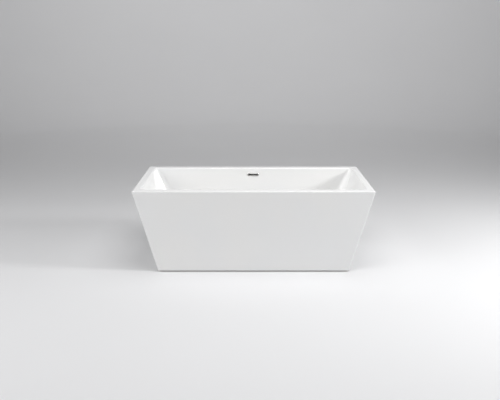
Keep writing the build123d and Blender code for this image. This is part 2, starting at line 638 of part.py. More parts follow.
def make_overflow_pipe_upright():
    """The pipe from the bend up to the overflow's chamber."""
    return ring(0, UPRIGHT_Y, PORT_Z + ELBOW_BEND + PIPE_STOP, UPRIGHT_TOP_Z, *OVERFLOW_PIPE)


def make_overflow_pipe_lower():
    """The level pipe from the bend to the waste body."""
    axis = Plane(origin=(0, LOWER_PIPE_START_Y, PORT_Z), x_dir=(1, 0, 0), z_dir=(0, 1, 0))
    length = UPRIGHT_Y - ELBOW_BEND - PIPE_STOP - LOWER_PIPE_START_Y
    return extrude(axis * (Circle(OVERFLOW_PIPE[0]) - Circle(OVERFLOW_PIPE[1])), length)


def make_overflow_slip_nuts():
    """The four nuts on the overflow's pipes, one at each socket."""
    radius, length = SMALL_NUT
    half = length / 2
    nut = slip_nut(radius, OVERFLOW_PIPE[0] + PLAY, length)
    nut -= Pos(0, 0, half / 2) * Cylinder(SOCKET[0] + PLAY, half)
    elbow_start = UPRIGHT_Y - ELBOW_BEND - ELBOW_STRAIGHT
    elbow_top = PORT_Z + ELBOW_BEND + ELBOW_STRAIGHT
    places = [
        Pos(0, PORT_END_Y, PORT_Z) * Rot(90, 0, 0),
        Pos(0, elbow_start, PORT_Z) * Rot(-90, 0, 0),
        Pos(0, UPRIGHT_Y, elbow_top) * Rot(180, 0, 0),
        Pos(0, UPRIGHT_Y, OVERFLOW_SPIGOT_LOW_Z),
    ]
    return Compound([place * nut for place in places])


# ---------------------------------------------------------------- everything together

def make_parts():
    """Every sub-part by node name."""
    board_screws = make_board_screws()
    bracket_screws = make_bracket_screws()
    fixings = board_screws.solids() + bracket_screws.solids()
    parts = {
        "bath_shell": make_bath_shell(),
        "glassfibre_backing": make_glassfibre_backing(),
        "skirt": make_skirt(),
        "baseboard": make_baseboard(board_screws.solids()),
        "frame_rail_front": make_rail(-RAIL_Y),
        "frame_rail_back": make_rail(RAIL_Y),
        "frame_cross_left_end": make_cross_tube(-END_CROSS_X, END_CROSS_LENGTH, fixings),
        "frame_cross_left_mid": make_cross_tube(-MID_CROSS_X, MID_CROSS_LENGTH, fixings),
        "frame_cross_right_mid": make_cross_tube(MID_CROSS_X, MID_CROSS_LENGTH, fixings),
        "frame_cross_right_end": make_cross_tube(END_CROSS_X, END_CROSS_LENGTH, fixings),
        "tube_end_caps": make_tube_end_caps(),
        "board_screws": board_screws,
        "skirt_brackets": make_brackets(bracket_screws.solids()),
        "bracket_screws": bracket_screws,
        "foot_lock_nuts": make_lock_nuts(),
        "waste_flange": make_waste_flange(),
        "waste_flange_gasket": ring(0, WASTE_Y, SEAT_Z, FLANGE_Z[0], FLANGE_RADIUS - 1, NECK[0] + 0.2),
        "waste_under_gasket": ring(0, WASTE_Y, BODY_TOP_Z, UNDER_SEAT_Z, 38, NECK[0] + 1),
        "waste_body": make_waste_body(),
        "popup_cap": make_popup_cap(),
        "popup_seal": ring(0, WASTE_Y, FLANGE_Z[1], FLANGE_Z[1] + WASHER, 29, 24),
        "popup_stem": make_popup_stem(),
        "popup_cartridge": make_popup_cartridge(),
        "popup_spring": make_popup_spring(),
        "trap_body": make_trap_body(),
        "trap_slip_nuts": make_trap_slip_nuts(),
        "outlet_elbow": make_outlet_elbow(),
        "outlet_tail": make_outlet_tail(),
        "overflow_trim": make_overflow_trim(),
        "overflow_gasket": make_overflow_gasket(),
        "overflow_body": make_overflow_body(),
        "overflow_pipe_upright": make_overflow_pipe_upright(),
        "overflow_elbow": make_overflow_elbow(),
        "overflow_pipe_lower": make_overflow_pipe_lower(),
        "overflow_slip_nuts": make_overflow_slip_nuts(),
    }
    for side, strip in make_rim_battens().items():
        parts["rim_batten_" + side] = strip
    for side, strip in make_skirt_battens().items():
        parts["skirt_batten_" + side] = strip - bracket_screws.solids()
    for end, x in (("left", -END_CROSS_X), ("right", END_CROSS_X)):
        for side, y in (("front", -POST_Y), ("back", POST_Y)):
            parts[f"rim_post_{side}_{end}"] = make_rim_post(x, y)
    for number, (x, y) in foot_places():
        parts[f"foot_pad_{number}"] = make_foot_pad(x, y)
        parts[f"foot_stud_{number}"] = make_foot_stud(x, y)
    return parts


for node, shape in make_parts().items():
    export_step(shape, f"parts/{node}.step")
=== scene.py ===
"""A freestanding acrylic bathtub: basin and skirt, steel frame, screw feet, waste, overflow and trap."""

import json
import logging
import math
from dataclasses import dataclass, field
from enum import Enum
from typing import Callable, Dict, Iterable, List, Optional, Sequence, Set, Tuple, Union

import bmesh
import bpy
from mathutils import Matrix, Vector, noise


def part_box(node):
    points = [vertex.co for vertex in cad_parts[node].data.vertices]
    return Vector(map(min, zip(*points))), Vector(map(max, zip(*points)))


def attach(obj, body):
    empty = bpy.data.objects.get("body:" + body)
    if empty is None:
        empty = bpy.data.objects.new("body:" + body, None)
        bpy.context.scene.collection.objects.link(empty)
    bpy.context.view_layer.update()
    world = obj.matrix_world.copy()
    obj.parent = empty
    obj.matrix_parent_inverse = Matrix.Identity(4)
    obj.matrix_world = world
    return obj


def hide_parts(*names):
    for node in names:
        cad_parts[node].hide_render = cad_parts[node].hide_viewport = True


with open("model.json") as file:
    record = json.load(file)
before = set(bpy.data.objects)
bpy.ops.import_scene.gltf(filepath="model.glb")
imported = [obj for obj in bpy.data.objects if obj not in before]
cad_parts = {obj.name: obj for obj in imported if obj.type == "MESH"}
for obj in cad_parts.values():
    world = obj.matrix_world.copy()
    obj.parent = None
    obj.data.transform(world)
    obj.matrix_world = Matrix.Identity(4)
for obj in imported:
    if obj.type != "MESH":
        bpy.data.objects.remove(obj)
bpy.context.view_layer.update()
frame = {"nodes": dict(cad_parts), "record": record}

log = logging.getLogger("bathtub")
MM = 0.001
Colour = Tuple[float, float, float]
Triple = Tuple[float, float, float]
Ring = List[Vector]
Outline = Tuple[Tuple[float, ...], ...]
Reach = Union[float, Callable[[float], float]]


# ---------------------------------------------------------------- materials

class Signal:
    """One output of a material's node, which ordinary arithmetic works on."""

    def __init__(self, paint: "Paint", socket: bpy.types.NodeSocket) -> None:
        """Wraps a socket of a paint's node tree."""
        self.paint = paint
        self.socket = socket

    def _math(self, operation: str, first: "Term", second: "Term") -> "Signal":
        """Adds a Math node on two numbers or signals."""
        return self.paint.node("ShaderNodeMath", {"operation": operation}, {0: first, 1: second})

    def __add__(self, other: "Term") -> "Signal":
        """self + other."""
        return self._math("ADD", self, other)

    __radd__ = __add__

    def __rsub__(self, other: "Term") -> "Signal":
        """other - self."""
        return self._math("SUBTRACT", other, self)

    def __mul__(self, other: "Term") -> "Signal":
        """self * other."""
        return self._math("MULTIPLY", self, other)

    __rmul__ = __mul__

    def highest(self, other: "Term") -> "Signal":
        """The larger of the two."""
        return self._math("MAXIMUM", self, other)

    def wave(self) -> "Signal":
        """The sine of the signal."""
        return self._math("SINE", self, 0.0)

    def rise(self, low: float, high: float) -> "Signal":
        """Goes smoothly from 0 where the signal is low to 1 where it is high.

        Args:
            low: The value that gives 0.
            high: The value that gives 1.

        Returns:
            A signal from 0 to 1.
        """
        inputs = {"Value": self, "From Min": low, "From Max": high}
        return self.paint.node("ShaderNodeMapRange", {"interpolation_type": "SMOOTHSTEP"}, inputs)


Term = Union[Signal, float]


class Paint:
    """One material: its shader, and the nodes that drive it."""

    def __init__(self, name: str, **constants: Union[float, Colour]) -> None:
        """Makes the material.

        Args:
            name: The material's name.
            constants: Values set straight on the shader, by socket name with _ for a space.
        """
        self.material = bpy.data.materials.new(name)
        self.material.use_nodes = True
        self.tree = self.material.node_tree
        self.shader = self.tree.nodes["Principled BSDF"]
        for socket, value in constants.items():
            plain = (*value, 1.0) if isinstance(value, tuple) else value
            self.shader.inputs[socket.replace("_", " ")].default_value = plain

    def node(self, kind: str, settings: Dict[str, object], inputs: Dict[Union[str, int], object],
             output: Union[str, int] = 0) -> Signal:
        """Adds one node.

        Args:
            kind: The node's Blender type.
            settings: Its properties, set first.
            inputs: A value or a signal for each input socket, by name or number.
            output: The output that is wanted.

        Returns:
            The wanted output.
        """
        made = self.tree.nodes.new(kind)
        for key, value in settings.items():
            setattr(made, key, value)
        for key, value in inputs.items():
            socket = made.inputs[key]
            if isinstance(value, Signal):
                self.tree.links.new(value.socket, socket)
            elif isinstance(value, tuple) and socket.type == "RGBA":
                socket.default_value = (*value, 1.0)
            else:
                socket.default_value = value
        return Signal(self, made.outputs[output])

    def spot(self, stretch: Triple = (1.0, 1.0, 1.0), turn: Triple = (0.0, 0.0, 0.0)) -> Signal:
        """The place on the piece in metres, turned and then stretched along each axis.

        Args:
            stretch: Multipliers along x, y and z.
            turn: Turns about x, y and z in radians.

        Returns:
            A vector signal.
        """
        place = self.node("ShaderNodeTexCoord", {}, {}, "Object")
        if any(turn):
            place = self.node("ShaderNodeVectorRotate", {"rotation_type": "EULER_XYZ"},
                              {"Vector": place, "Rotation": turn})
        return self.node("ShaderNodeVectorMath", {"operation": "MULTIPLY"}, {0: place, 1: stretch})

    def axis(self, name: str) -> Signal:
        """The place on the piece along one axis, X, Y or Z, in metres."""
        return self.node("ShaderNodeSeparateXYZ", {}, {0: self.spot()}, name)

    def cloud(self, scale: float, detail: float = 3.0, stretch: Triple = (1.0, 1.0, 1.0),
              turn: Triple = (0.0, 0.0, 0.0)) -> Signal:
        """Soft noise from 0 to 1.

        Args:
            scale: Blotches per metre.
            detail: How many finer octaves it has.
            stretch: Multipliers along x, y and z.
            turn: Turns about x, y and z in radians, before the stretch.

        Returns:
            A number signal.
        """
        inputs = {"Vector": self.spot(stretch, turn), "Scale": scale, "Detail": detail}
        return self.node("ShaderNodeTexNoise", {}, inputs)

    def cells(self, scale: float, stretch: Triple = (1.0, 1.0, 1.0)) -> Signal:
        """Flat cells, each with a grey of its own.

        Args:
            scale: Cells per metre.
            stretch: Multipliers along x, y and z.

        Returns:
            A number signal.
        """
        inputs = {"Vector": self.spot(stretch), "Scale": scale}
        colour = self.node("ShaderNodeTexVoronoi", {}, inputs, "Color")
        return self.node("ShaderNodeRGBToBW", {}, {0: colour})

    def mix(self, factor: Term, first: Union[Signal, Colour], second: Union[Signal, Colour]) -> Signal:
        """A colour that goes from first to second as factor goes from 0 to 1."""
        settings = {"data_type": "RGBA", "clamp_factor": True}
        return self.node("ShaderNodeMix", settings, {0: factor, 6: first, 7: second}, 2)

    def drive(self, socket: str, signal: Signal) -> None:
        """Feeds a signal to one of the shader's sockets."""
        self.tree.links.new(signal.socket, self.shader.inputs[socket])

    def relief(self, height: Signal, depth: float) -> None:
        """Gives the surface a bump.

        Args:
            height: The relief, from 0 to 1.
            depth: What a height of 1 stands for, in metres.
        """
        self.drive("Normal", self.node("ShaderNodeBump", {}, {"Distance": depth, "Height": height}))


@dataclass(frozen=True)
class Finish:
    """A surface finish, which makes its own material."""

    name: str

    def material(self) -> bpy.types.Material:
        """The finish's material."""
        raise NotImplementedError


@dataclass(frozen=True)
class GlossAcrylic(Finish):
    """White sheet acrylic, drawn over a mould: clean gloss, a faint ripple and a few soft wipe marks."""

    white: Colour = (0.840, 0.838, 0.829)
    cool: Colour = (0.826, 0.830, 0.830)
    gloss: float = 0.22

    def material(self) -> bpy.types.Material:
        """The finish's material."""
        paint = Paint(self.name, IOR=1.49, Coat_Roughness=0.10, Coat_IOR=1.49)
        tone = paint.cloud(2.2, 2.0)
        wiped = paint.cloud(5.0, 2.0, (1.0, 1.6, 1.2)).rise(0.25, 0.85)
        paint.drive("Base Color", paint.mix(tone.rise(0.3, 0.7), self.white, self.cool))
        paint.drive("Roughness", self.gloss + 0.03 * wiped + 0.01 * tone)
        paint.drive("Coat Weight", 0.40 - 0.04 * wiped)
        ripple = paint.cloud(5.0, 1.0)
        peel = paint.cloud(240.0, 1.0)
        paint.relief(0.8 * ripple + 0.2 * peel, 0.03 * MM)
        return paint.material


@dataclass(frozen=True)
class GlassFibre(Finish):
    """Chopped glass strands set in resin, rolled out by hand."""

    resin: Colour = (0.47, 0.44, 0.27)
    strand: Colour = (0.74, 0.73, 0.60)
    starved: Colour = (0.60, 0.58, 0.44)

    def material(self) -> bpy.types.Material:
        """The finish's material."""
        paint = Paint(self.name, IOR=1.52)
        strands: Optional[Signal] = None
        for number in range(5):
            turn = (0.45 * number, 0.9 + 0.7 * number, 1.26 * number)
            layer = paint.cloud(26.0, 2.0, (0.7, 14.0, 14.0), turn).rise(0.55, 0.66)
            strands = layer if strands is None else strands.highest(layer)
        pools = paint.cloud(14.0, 4.0).rise(0.35, 0.7)
        base = paint.mix(pools, self.starved, self.resin)
        paint.drive("Base Color", paint.mix(0.75 * strands, base, self.strand))
        paint.drive("Roughness", 0.28 + 0.30 * strands + 0.12 * pools)
        paint.relief(0.6 * strands + 0.4 * pools, 0.9 * MM)
        return paint.material


class Grain(Enum):
    """The way that a strip's grain runs."""

    ALONG_X = (0.9, 16.0, 16.0)
    ALONG_Y = (16.0, 0.9, 16.0)


@dataclass(frozen=True)
class Plywood(Finish):
    """Birch plywood: pale grain on the faces and thin crossed plies on the edges."""

    grain: Grain = Grain.ALONG_X
    light: Colour = (0.62, 0.44, 0.25)
    dark: Colour = (0.40, 0.25, 0.12)
    ply: float = 2.6 * MM

    def material(self) -> bpy.types.Material:
        """The finish's material."""
        paint = Paint(self.name, IOR=1.45)
        fibre = paint.cloud(16.0, 6.0, self.grain.value)
        ply = (paint.axis("Z") * (math.pi / self.ply)).wave().rise(-0.35, 0.35)
        faces = paint.mix(fibre.rise(0.35, 0.7), self.light, self.dark)
        paint.drive("Base Color", paint.mix(0.35 * ply, faces, self.dark))
        paint.drive("Roughness", 0.62 + 0.2 * fibre)
        paint.relief(0.7 * fibre + 0.3 * ply, 0.3 * MM)
        return paint.material


@dataclass(frozen=True)
class Chipboard(Finish):
    """Pressed wood chips under a thin wipe of resin."""

    light: Colour = (0.60, 0.43, 0.24)
    dark: Colour = (0.30, 0.18, 0.09)

    def material(self) -> bpy.types.Material:
        """The finish's material."""
        paint = Paint(self.name, IOR=1.45)
        large = paint.cells(130.0, (1.0, 2.2, 3.0))
        small = paint.cells(420.0, (1.6, 1.0, 3.0))
        chips = 0.6 * large + 0.4 * small
        stain = paint.cloud(7.0, 4.0)
        tone = (0.8 * chips + 0.3 * stain).rise(0.15, 0.95)
        paint.drive("Base Color", paint.mix(tone, self.dark, self.light))
        paint.drive("Roughness", 0.7 + 0.18 * chips)
        paint.relief(chips, 0.35 * MM)
        return paint.material


@dataclass(frozen=True)
class PlatedSteel(Finish):
    """Zinc on steel: crystals when it was dipped, an even coat when it was plated."""

    light: Colour = (0.60, 0.61, 0.62)
    dark: Colour = (0.38, 0.40, 0.42)
    crystals: float = 90.0
    roughness: float = 0.38

    def material(self) -> bpy.types.Material:
        """The finish's material."""
        paint = Paint(self.name, Metallic=1.0)
        spangle = paint.cells(self.crystals)
        dulled = paint.cloud(11.0, 5.0).rise(0.4, 0.75)
        tone = paint.mix(spangle, self.dark, self.light)
        paint.drive("Base Color", paint.mix(0.45 * dulled, tone, self.dark))
        paint.drive("Roughness", self.roughness + 0.14 * spangle + 0.16 * dulled)
        paint.relief(0.5 * spangle + 0.5 * paint.cloud(500.0, 2.0), 0.05 * MM)
        return paint.material


@dataclass(frozen=True)
class MouldedPlastic(Finish):
    """Injection-moulded plastic with a fine spark-eroded grain."""

    colour: Colour = (0.70, 0.70, 0.68)
    worn: Colour = (0.60, 0.60, 0.57)
    roughness: float = 0.36

    def material(self) -> bpy.types.Material:
        """The finish's material."""
        paint = Paint(self.name, IOR=1.49)
        flow = paint.cloud(18.0, 3.0, (1.0, 1.0, 3.0))
        scuff = paint.cloud(60.0, 6.0).rise(0.5, 0.75)
        paint.drive("Base Color", paint.mix(0.5 * flow + 0.3 * scuff, self.colour, self.worn))
        paint.drive("Roughness", self.roughness + 0.1 * flow + 0.12 * scuff)
        paint.relief(0.7 * paint.cloud(1400.0, 2.0) + 0.3 * flow, 0.06 * MM)
        return paint.material


@dataclass(frozen=True)
class Rubber(Finish):
    """Black moulded rubber with a dusty bloom."""

    black: Colour = (0.018, 0.018, 0.019)
    bloom: Colour = (0.060, 0.060, 0.058)

    def material(self) -> bpy.types.Material:
        """The finish's material."""
        paint = Paint(self.name, IOR=1.5)
        dust = paint.cloud(45.0, 6.0).rise(0.42, 0.78)
        paint.drive("Base Color", paint.mix(dust, self.black, self.bloom))
        paint.drive("Roughness", 0.58 + 0.25 * dust)
        paint.relief(paint.cloud(900.0, 2.0), 0.08 * MM)
        return paint.material


@dataclass(frozen=True)
class PolishedMetal(Finish):
    """Bright plated or turned metal, with faint smears and, if it was turned, fine rings."""

    colour: Colour = (0.78, 0.785, 0.79)
    tarnish: Colour = (0.66, 0.67, 0.69)
    roughness: float = 0.05
    rings: float = 0.0

    def material(self) -> bpy.types.Material:
        """The finish's material."""
        paint = Paint(self.name, Metallic=1.0)
        smear = paint.cloud(38.0, 5.0, (1.0, 2.0, 1.0)).rise(0.4, 0.75)
        paint.drive("Base Color", paint.mix(0.6 * smear, self.colour, self.tarnish))
        paint.drive("Roughness", self.roughness + 0.09 * smear)
        height = paint.cloud(300.0, 2.0)
        if self.rings:
            height = 0.4 * height + 0.6 * (paint.axis("Z") * self.rings).wave().rise(-1.0, 1.0)
        paint.relief(height, 0.015 * MM)
        return paint.material


@dataclass(frozen=True)
class StudioPaint(Finish):
    """The studio floor's pale matt paint."""

    pale: Colour = (0.745, 0.745, 0.752)
    shade: Colour = (0.72, 0.72, 0.728)

    def material(self) -> bpy.types.Material:
        """The finish's material."""
        paint = Paint(self.name)
        patch = paint.cloud(0.7, 3.0)
        paint.drive("Base Color", paint.mix(patch, self.pale, self.shade))
        paint.drive("Roughness", 0.75 + 0.1 * patch)
        return paint.material


class Stock:
    """Every finish in the tub, by the record's material slot."""

    def __init__(self) -> None:
        """Makes each material once."""
        zinc = dict(light=(0.66, 0.66, 0.63), dark=(0.48, 0.48, 0.45), crystals=700.0, roughness=0.26)
        finishes: Dict[str, Finish] = {
            "white_acrylic": GlossAcrylic("white_acrylic"),
            "glassfibre": GlassFibre("glassfibre"),
            "plywood": Plywood("plywood_long", Grain.ALONG_X),
            "plywood_across": Plywood("plywood_across", Grain.ALONG_Y),
            "chipboard": Chipboard("chipboard"),
            "galvanised_steel": PlatedSteel("galvanised_steel"),
            "zinc_steel": PlatedSteel("zinc_steel", **zinc),
            "black_nylon": MouldedPlastic(
                "black_nylon", (0.022, 0.022, 0.024), (0.045, 0.045, 0.046), 0.42),
            "chrome": PolishedMetal("chrome"),
            "chrome_satin": PolishedMetal("chrome_satin", (0.66, 0.66, 0.64), (0.56, 0.56, 0.55), 0.26),
            "brass": PolishedMetal("brass", (0.70, 0.50, 0.22), (0.50, 0.34, 0.15), 0.16, 9000.0),
            "spring_steel": PolishedMetal(
                "spring_steel", (0.50, 0.50, 0.50), (0.36, 0.36, 0.37), 0.24),
            "black_rubber": Rubber("black_rubber"),
            "white_plastic": MouldedPlastic("white_plastic"),
            "grey_plastic": MouldedPlastic(
                "grey_plastic", (0.20, 0.205, 0.21), (0.26, 0.265, 0.27), 0.34),
        }
        self._materials = {slot: finish.material() for slot, finish in finishes.items()}
        self.slots = {row["node"]: row["material_slot"] for row in frame["record"]["subparts"]}

    def dress(self, node: str, slot: Optional[str] = None) -> bpy.types.Object:
        """Gives a CAD node its finish.

        Args:
            node: The CAD node.
            slot: Another slot's finish, where the node's own is not wanted.

        Returns:
            The node's object.
        """
        made = frame["nodes"][node]
        for holder in made.material_slots:
            holder.material = self._materials[slot or self.slots[node]]
        return made

    def fit(self, skin: "Skin", name: str, body: str, slot: str, *nodes: str,
            sharp: float = 35.0, finish: Optional[str] = None) -> None:
        """Finishes a new piece and puts it in the assembly.

        Args:
            skin: The piece's mesh.
            name: The piece's name.
            body: The CAD body that it moves with.
            slot: The record's material slot.
            nodes: The CAD nodes that it stands for.
            sharp: Edges that turn by more than this many degrees stay crisp.
            finish: Another finish than the slot's own.
        """
        made = skin.piece(name, self._materials[finish or slot], sharp)
        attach(made, body)
        if nodes:
            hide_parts(*nodes)
        log.info("%s rides on %s", made.name, body)


# ---------------------------------------------------------------- mesh tools

class Skin:
    """One piece's mesh, made of rows of points joined by bands of faces."""

    def __init__(self) -> None:
        """Starts an empty mesh."""
        self.mesh = bmesh.new()

    def rows(self, rings: Iterable[Ring], loop: bool = False,
             gaps: Optional[Set[Tuple[int, int]]] = None) -> List[List[bmesh.types.BMVert]]:
        """Joins closed rings of equal count, each to the next.

        Args:
            rings: The rings, in order.
            loop: Whether the last ring joins the first.
            gaps: Faces to leave out, each as its ring's and its column's number.

        Returns:
            The vertices, ring by ring.
        """
        made = [[self.mesh.verts.new(point) for point in ring] for ring in rings]
        for row in range(len(made) if loop else len(made) - 1):
            here, there = made[row], made[(row + 1) % len(made)]
            for column in range(len(here)):
                if gaps and (row, column) in gaps:
                    continue
                after = (column + 1) % len(here)
                self.mesh.faces.new((here[column], here[after], there[after], there[column]))
        return made

    def cap(self, ring: Sequence[bmesh.types.BMVert]) -> None:
        """Closes a ring with a fan of triangles."""
        middle = self.mesh.verts.new(sum((v.co for v in ring), Vector()) / len(ring))
        for number, vert in enumerate(ring):
            self.mesh.faces.new((vert, ring[(number + 1) % len(ring)], middle))

    def pierced(self, rings: Iterable[Ring], column: int, front: int, back: int) -> None:
        """Joins a loop of rings, with a hole through two bands of it.

        Args:
            rings: The rings, in order.
            column: The column of the two faces that the hole takes.
            front: The band of the one on the basin's side.
            back: The band of the one behind it.
        """
        made = self.rows(rings, loop=True, gaps={(front, column), (back, column)})
        after = column + 1
        near = [made[front][column], made[front][after], made[front + 1][after], made[front + 1][column]]
        far = [made[back + 1][column], made[back + 1][after], made[back][after], made[back][column]]
        for here, there in ((0, 1), (1, 2), (2, 3), (3, 0)):
            self.mesh.faces.new((near[here], near[there], far[there], far[here]))

    def closed(self, rings: Iterable[Ring]) -> None:
        """Joins rings and closes both ends."""
        made = self.rows(rings)
        self.cap(made[0])
        self.cap(made[-1])

    def piece(self, name: str, material: bpy.types.Material, sharp: float) -> bpy.types.Object:
        """Finishes the mesh.

        Args:
            name: The piece's name.
            material: Its finish.
            sharp: Edges that turn by more than this many degrees stay crisp.

        Returns:
            The new object.
        """
        bmesh.ops.recalc_face_normals(self.mesh, faces=self.mesh.faces)
        for face in self.mesh.faces:
            face.smooth = True
        for edge in self.mesh.edges:
            edge.smooth = edge.calc_face_angle(0.0) < math.radians(sharp)
        data = bpy.data.meshes.new(name)
        self.mesh.to_mesh(data)
        self.mesh.free()
        data.materials.append(material)
        made = bpy.data.objects.new(name, data)
        bpy.context.scene.collection.objects.link(made)
        even_normals(made)
        return made


NORMAL_WEIGHT = 60       # how much more a large face counts than a small one
WELD_REACH = 0.01 * MM
SOFTENED_ANGLE = math.radians(40)


def even_normals(made: bpy.types.Object) -> None:
    """Keeps flat faces flat in the light, next to the small rounded faces beside them."""
    weighted = made.modifiers.new("even_normals", "WEIGHTED_NORMAL")
    weighted.keep_sharp = True
    weighted.weight = NORMAL_WEIGHT


def soften(made: bpy.types.Object, radius: float) -> None:
    """Rounds a CAD node's sharp edges a little, as a real part's are.

    Args:
        made: The node's object.
        radius: The rounding, in metres.
    """
    joined = made.modifiers.new("joined", "WELD")
    joined.merge_threshold = WELD_REACH
    rounded = made.modifiers.new("rounded", "BEVEL")
    rounded.width = radius
    rounded.segments = 2
    rounded.limit_method = "ANGLE"
    rounded.angle_limit = SOFTENED_ANGLE
    rounded.use_clamp_overlap = True
    even_normals(made)


def arc(centre: Vector, radius: Reach, turns: Iterable[float]) -> Ring:
    """Level points round a centre, one at each angle in radians."""
    reach = radius if callable(radius) else lambda _: radius
    return [centre + reach(turn) * Vector((math.cos(turn), math.sin(turn), 0.0)) for turn in turns]


def circle(centre: Vector, radius: Reach, count: int) -> Ring:
    """A level ring.

    Args:
        centre: The ring's middle.
        radius: Its radius, or the radius at each angle in radians.
        count: How many points it has.

    Returns:
        The ring's points.
    """
    return arc(centre, radius, [math.tau * number / count for number in range(count)])


def stack(profile: Iterable[Tuple[Reach, float]], count: int, foot: Vector = Vector()) -> List[Ring]:
    """Level rings one above another.

    Args:
        profile: Radius and height of each ring.
        count: Points to a ring.
        foot: The point of their axis that heights count from.

    Returns:
        The rings.
    """
    return [circle(foot + Vector((0.0, 0.0, height)), radius, count) for radius, height in profile]


def tube(skin: Skin, path: Sequence[Vector], radius: Callable[[int], float], sides: int) -> None:
    """A closed-ended tube along points, its radius given point by point."""
    rings: List[Ring] = []
    up = Vector((0.0, 0.0, 1.0))
    for number, point in enumerate(path):
        before, after = path[max(number - 1, 0)], path[min(number + 1, len(path) - 1)]
        ahead = (after - before).normalized()
        side = ahead.cross(up if abs(ahead.z) < 0.9 else Vector((1.0, 0.0, 0.0))).normalized()
        over = side.cross(ahead)
        turns = [math.tau * step / sides for step in range(sides)]
        rings.append([point + radius(number) * (math.cos(t) * side + math.sin(t) * over) for t in turns])
    skin.closed(rings)


def placed(rings: Iterable[Ring], place: Matrix) -> List[Ring]:
    """Rings moved and turned by a matrix."""
    return [[place @ point for point in ring] for ring in rings]


def rounded_corners(half_x: float, half_y: float, corner: float, height: float,
                    steps: int) -> List[Ring]:
    """A level rounded rectangle's four corners, from the right end round by the back.

    Args:
        half_x: Half its size along x.
        half_y: Half its size along y.
        corner: Its corner radius.
        height: Its height.
        steps: Faces to a corner.

    Returns:
        Each corner's points.
    """
    corners = []
    for quarter, (way_x, way_y) in enumerate(((1, 1), (-1, 1), (-1, -1), (1, -1))):
        middle = Vector((way_x * (half_x - corner), way_y * (half_y - corner), height))
        turns = [math.tau / 4 * (quarter + step / steps) for step in range(steps + 1)]
        corners.append(arc(middle, corner, turns))
    return corners


def hexagon_reach(across: float) -> Callable[[float], float]:
    """A hexagon's radius at each angle, from its size across flats."""
    sixth = math.tau / 6
    return lambda turn: across / 2 / math.cos((turn + sixth / 2) % sixth - sixth / 2)


def hexagon_rows(foot: Vector, across: float, height: float, count: int) -> List[Ring]:
    """A hexagon's rows from its lower face to its upper face, its corners turned off at 30 degrees.

    Args:
        foot: The middle of the lower face.
        across: The size across flats.
        height: How tall it is.
        count: Points to a ring.

    Returns:
        Four rings.
    """
    flats_to_face = 0.95
    reach, face = hexagon_reach(across), flats_to_face * across / 2
    slope = math.tan(math.radians(30))

    def turned_off(base: float, sign: int) -> Ring:
        """The row where the flats meet the turned-off corners."""
        points = circle(foot + Vector((0, 0, base)), reach, count)
        for number, point in enumerate(points):
            point.z += sign * slope * max(reach(math.tau * number / count) - face, 0.0)
        return points

    low = circle(foot, face, count)
    high = circle(foot + Vector((0, 0, height)), face, count)
    return [low, turned_off(0.0, 1), turned_off(height, -1), high]


HOLE_MARK = 0.042        # half the overflow hole's length, in metres


@dataclass(frozen=True)
class Spread:
    """How points are spread round a rounded rectangle, alike for every ring of a piece."""

    corner_steps: int = 9
    side_marks: Tuple[float, ...] = (0.40, 0.20, HOLE_MARK, -HOLE_MARK, -0.20, -0.40)
    end_marks: Tuple[float, ...] = (0.10, -0.10)

    def ring(self, half_x: float, half_y: float, corner: float, height: float) -> Ring:
        """A level rounded rectangle, from its right end round by the back.

        Args:
            half_x: Half its size along x.
            half_y: Half its size along y.
            corner: Its corner radius.
            height: Its height.

        Returns:
            The ring's points.
        """
        sides = (
            [(x, half_y) for x in self.side_marks],
            [(-half_x, y) for y in self.end_marks],
            [(-x, -half_y) for x in self.side_marks],
            [(half_x, -y) for y in self.end_marks],
        )
        points: Ring = []
        for run, side in zip(rounded_corners(half_x, half_y, corner, height, self.corner_steps), sides):
            points += run + [Vector((x, y, height)) for x, y in side]
        return points

    def hole_column(self) -> int:
        """The column of the back side's face that the overflow hole takes."""
        return self.corner_steps + 1 + self.side_marks.index(HOLE_MARK)


def middle_of(node: str) -> Vector:
    """The middle of a node's box."""
    low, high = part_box(node)
    return (low + high) / 2


def cross_tubes() -> List[Tuple[Vector, Vector]]:
    """The boxes of the frame's four cross tubes, from left to right."""
    places = ("left_end", "left_mid", "right_mid", "right_end")
    return [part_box("frame_cross_" + place) for place in places]


def hexagon_radius(across: float) -> float:
    """How far a hexagon's corners are from its middle, from its size across flats."""
    return across / 2 / math.cos(math.tau / 12)


# ---------------------------------------------------------------- the shells

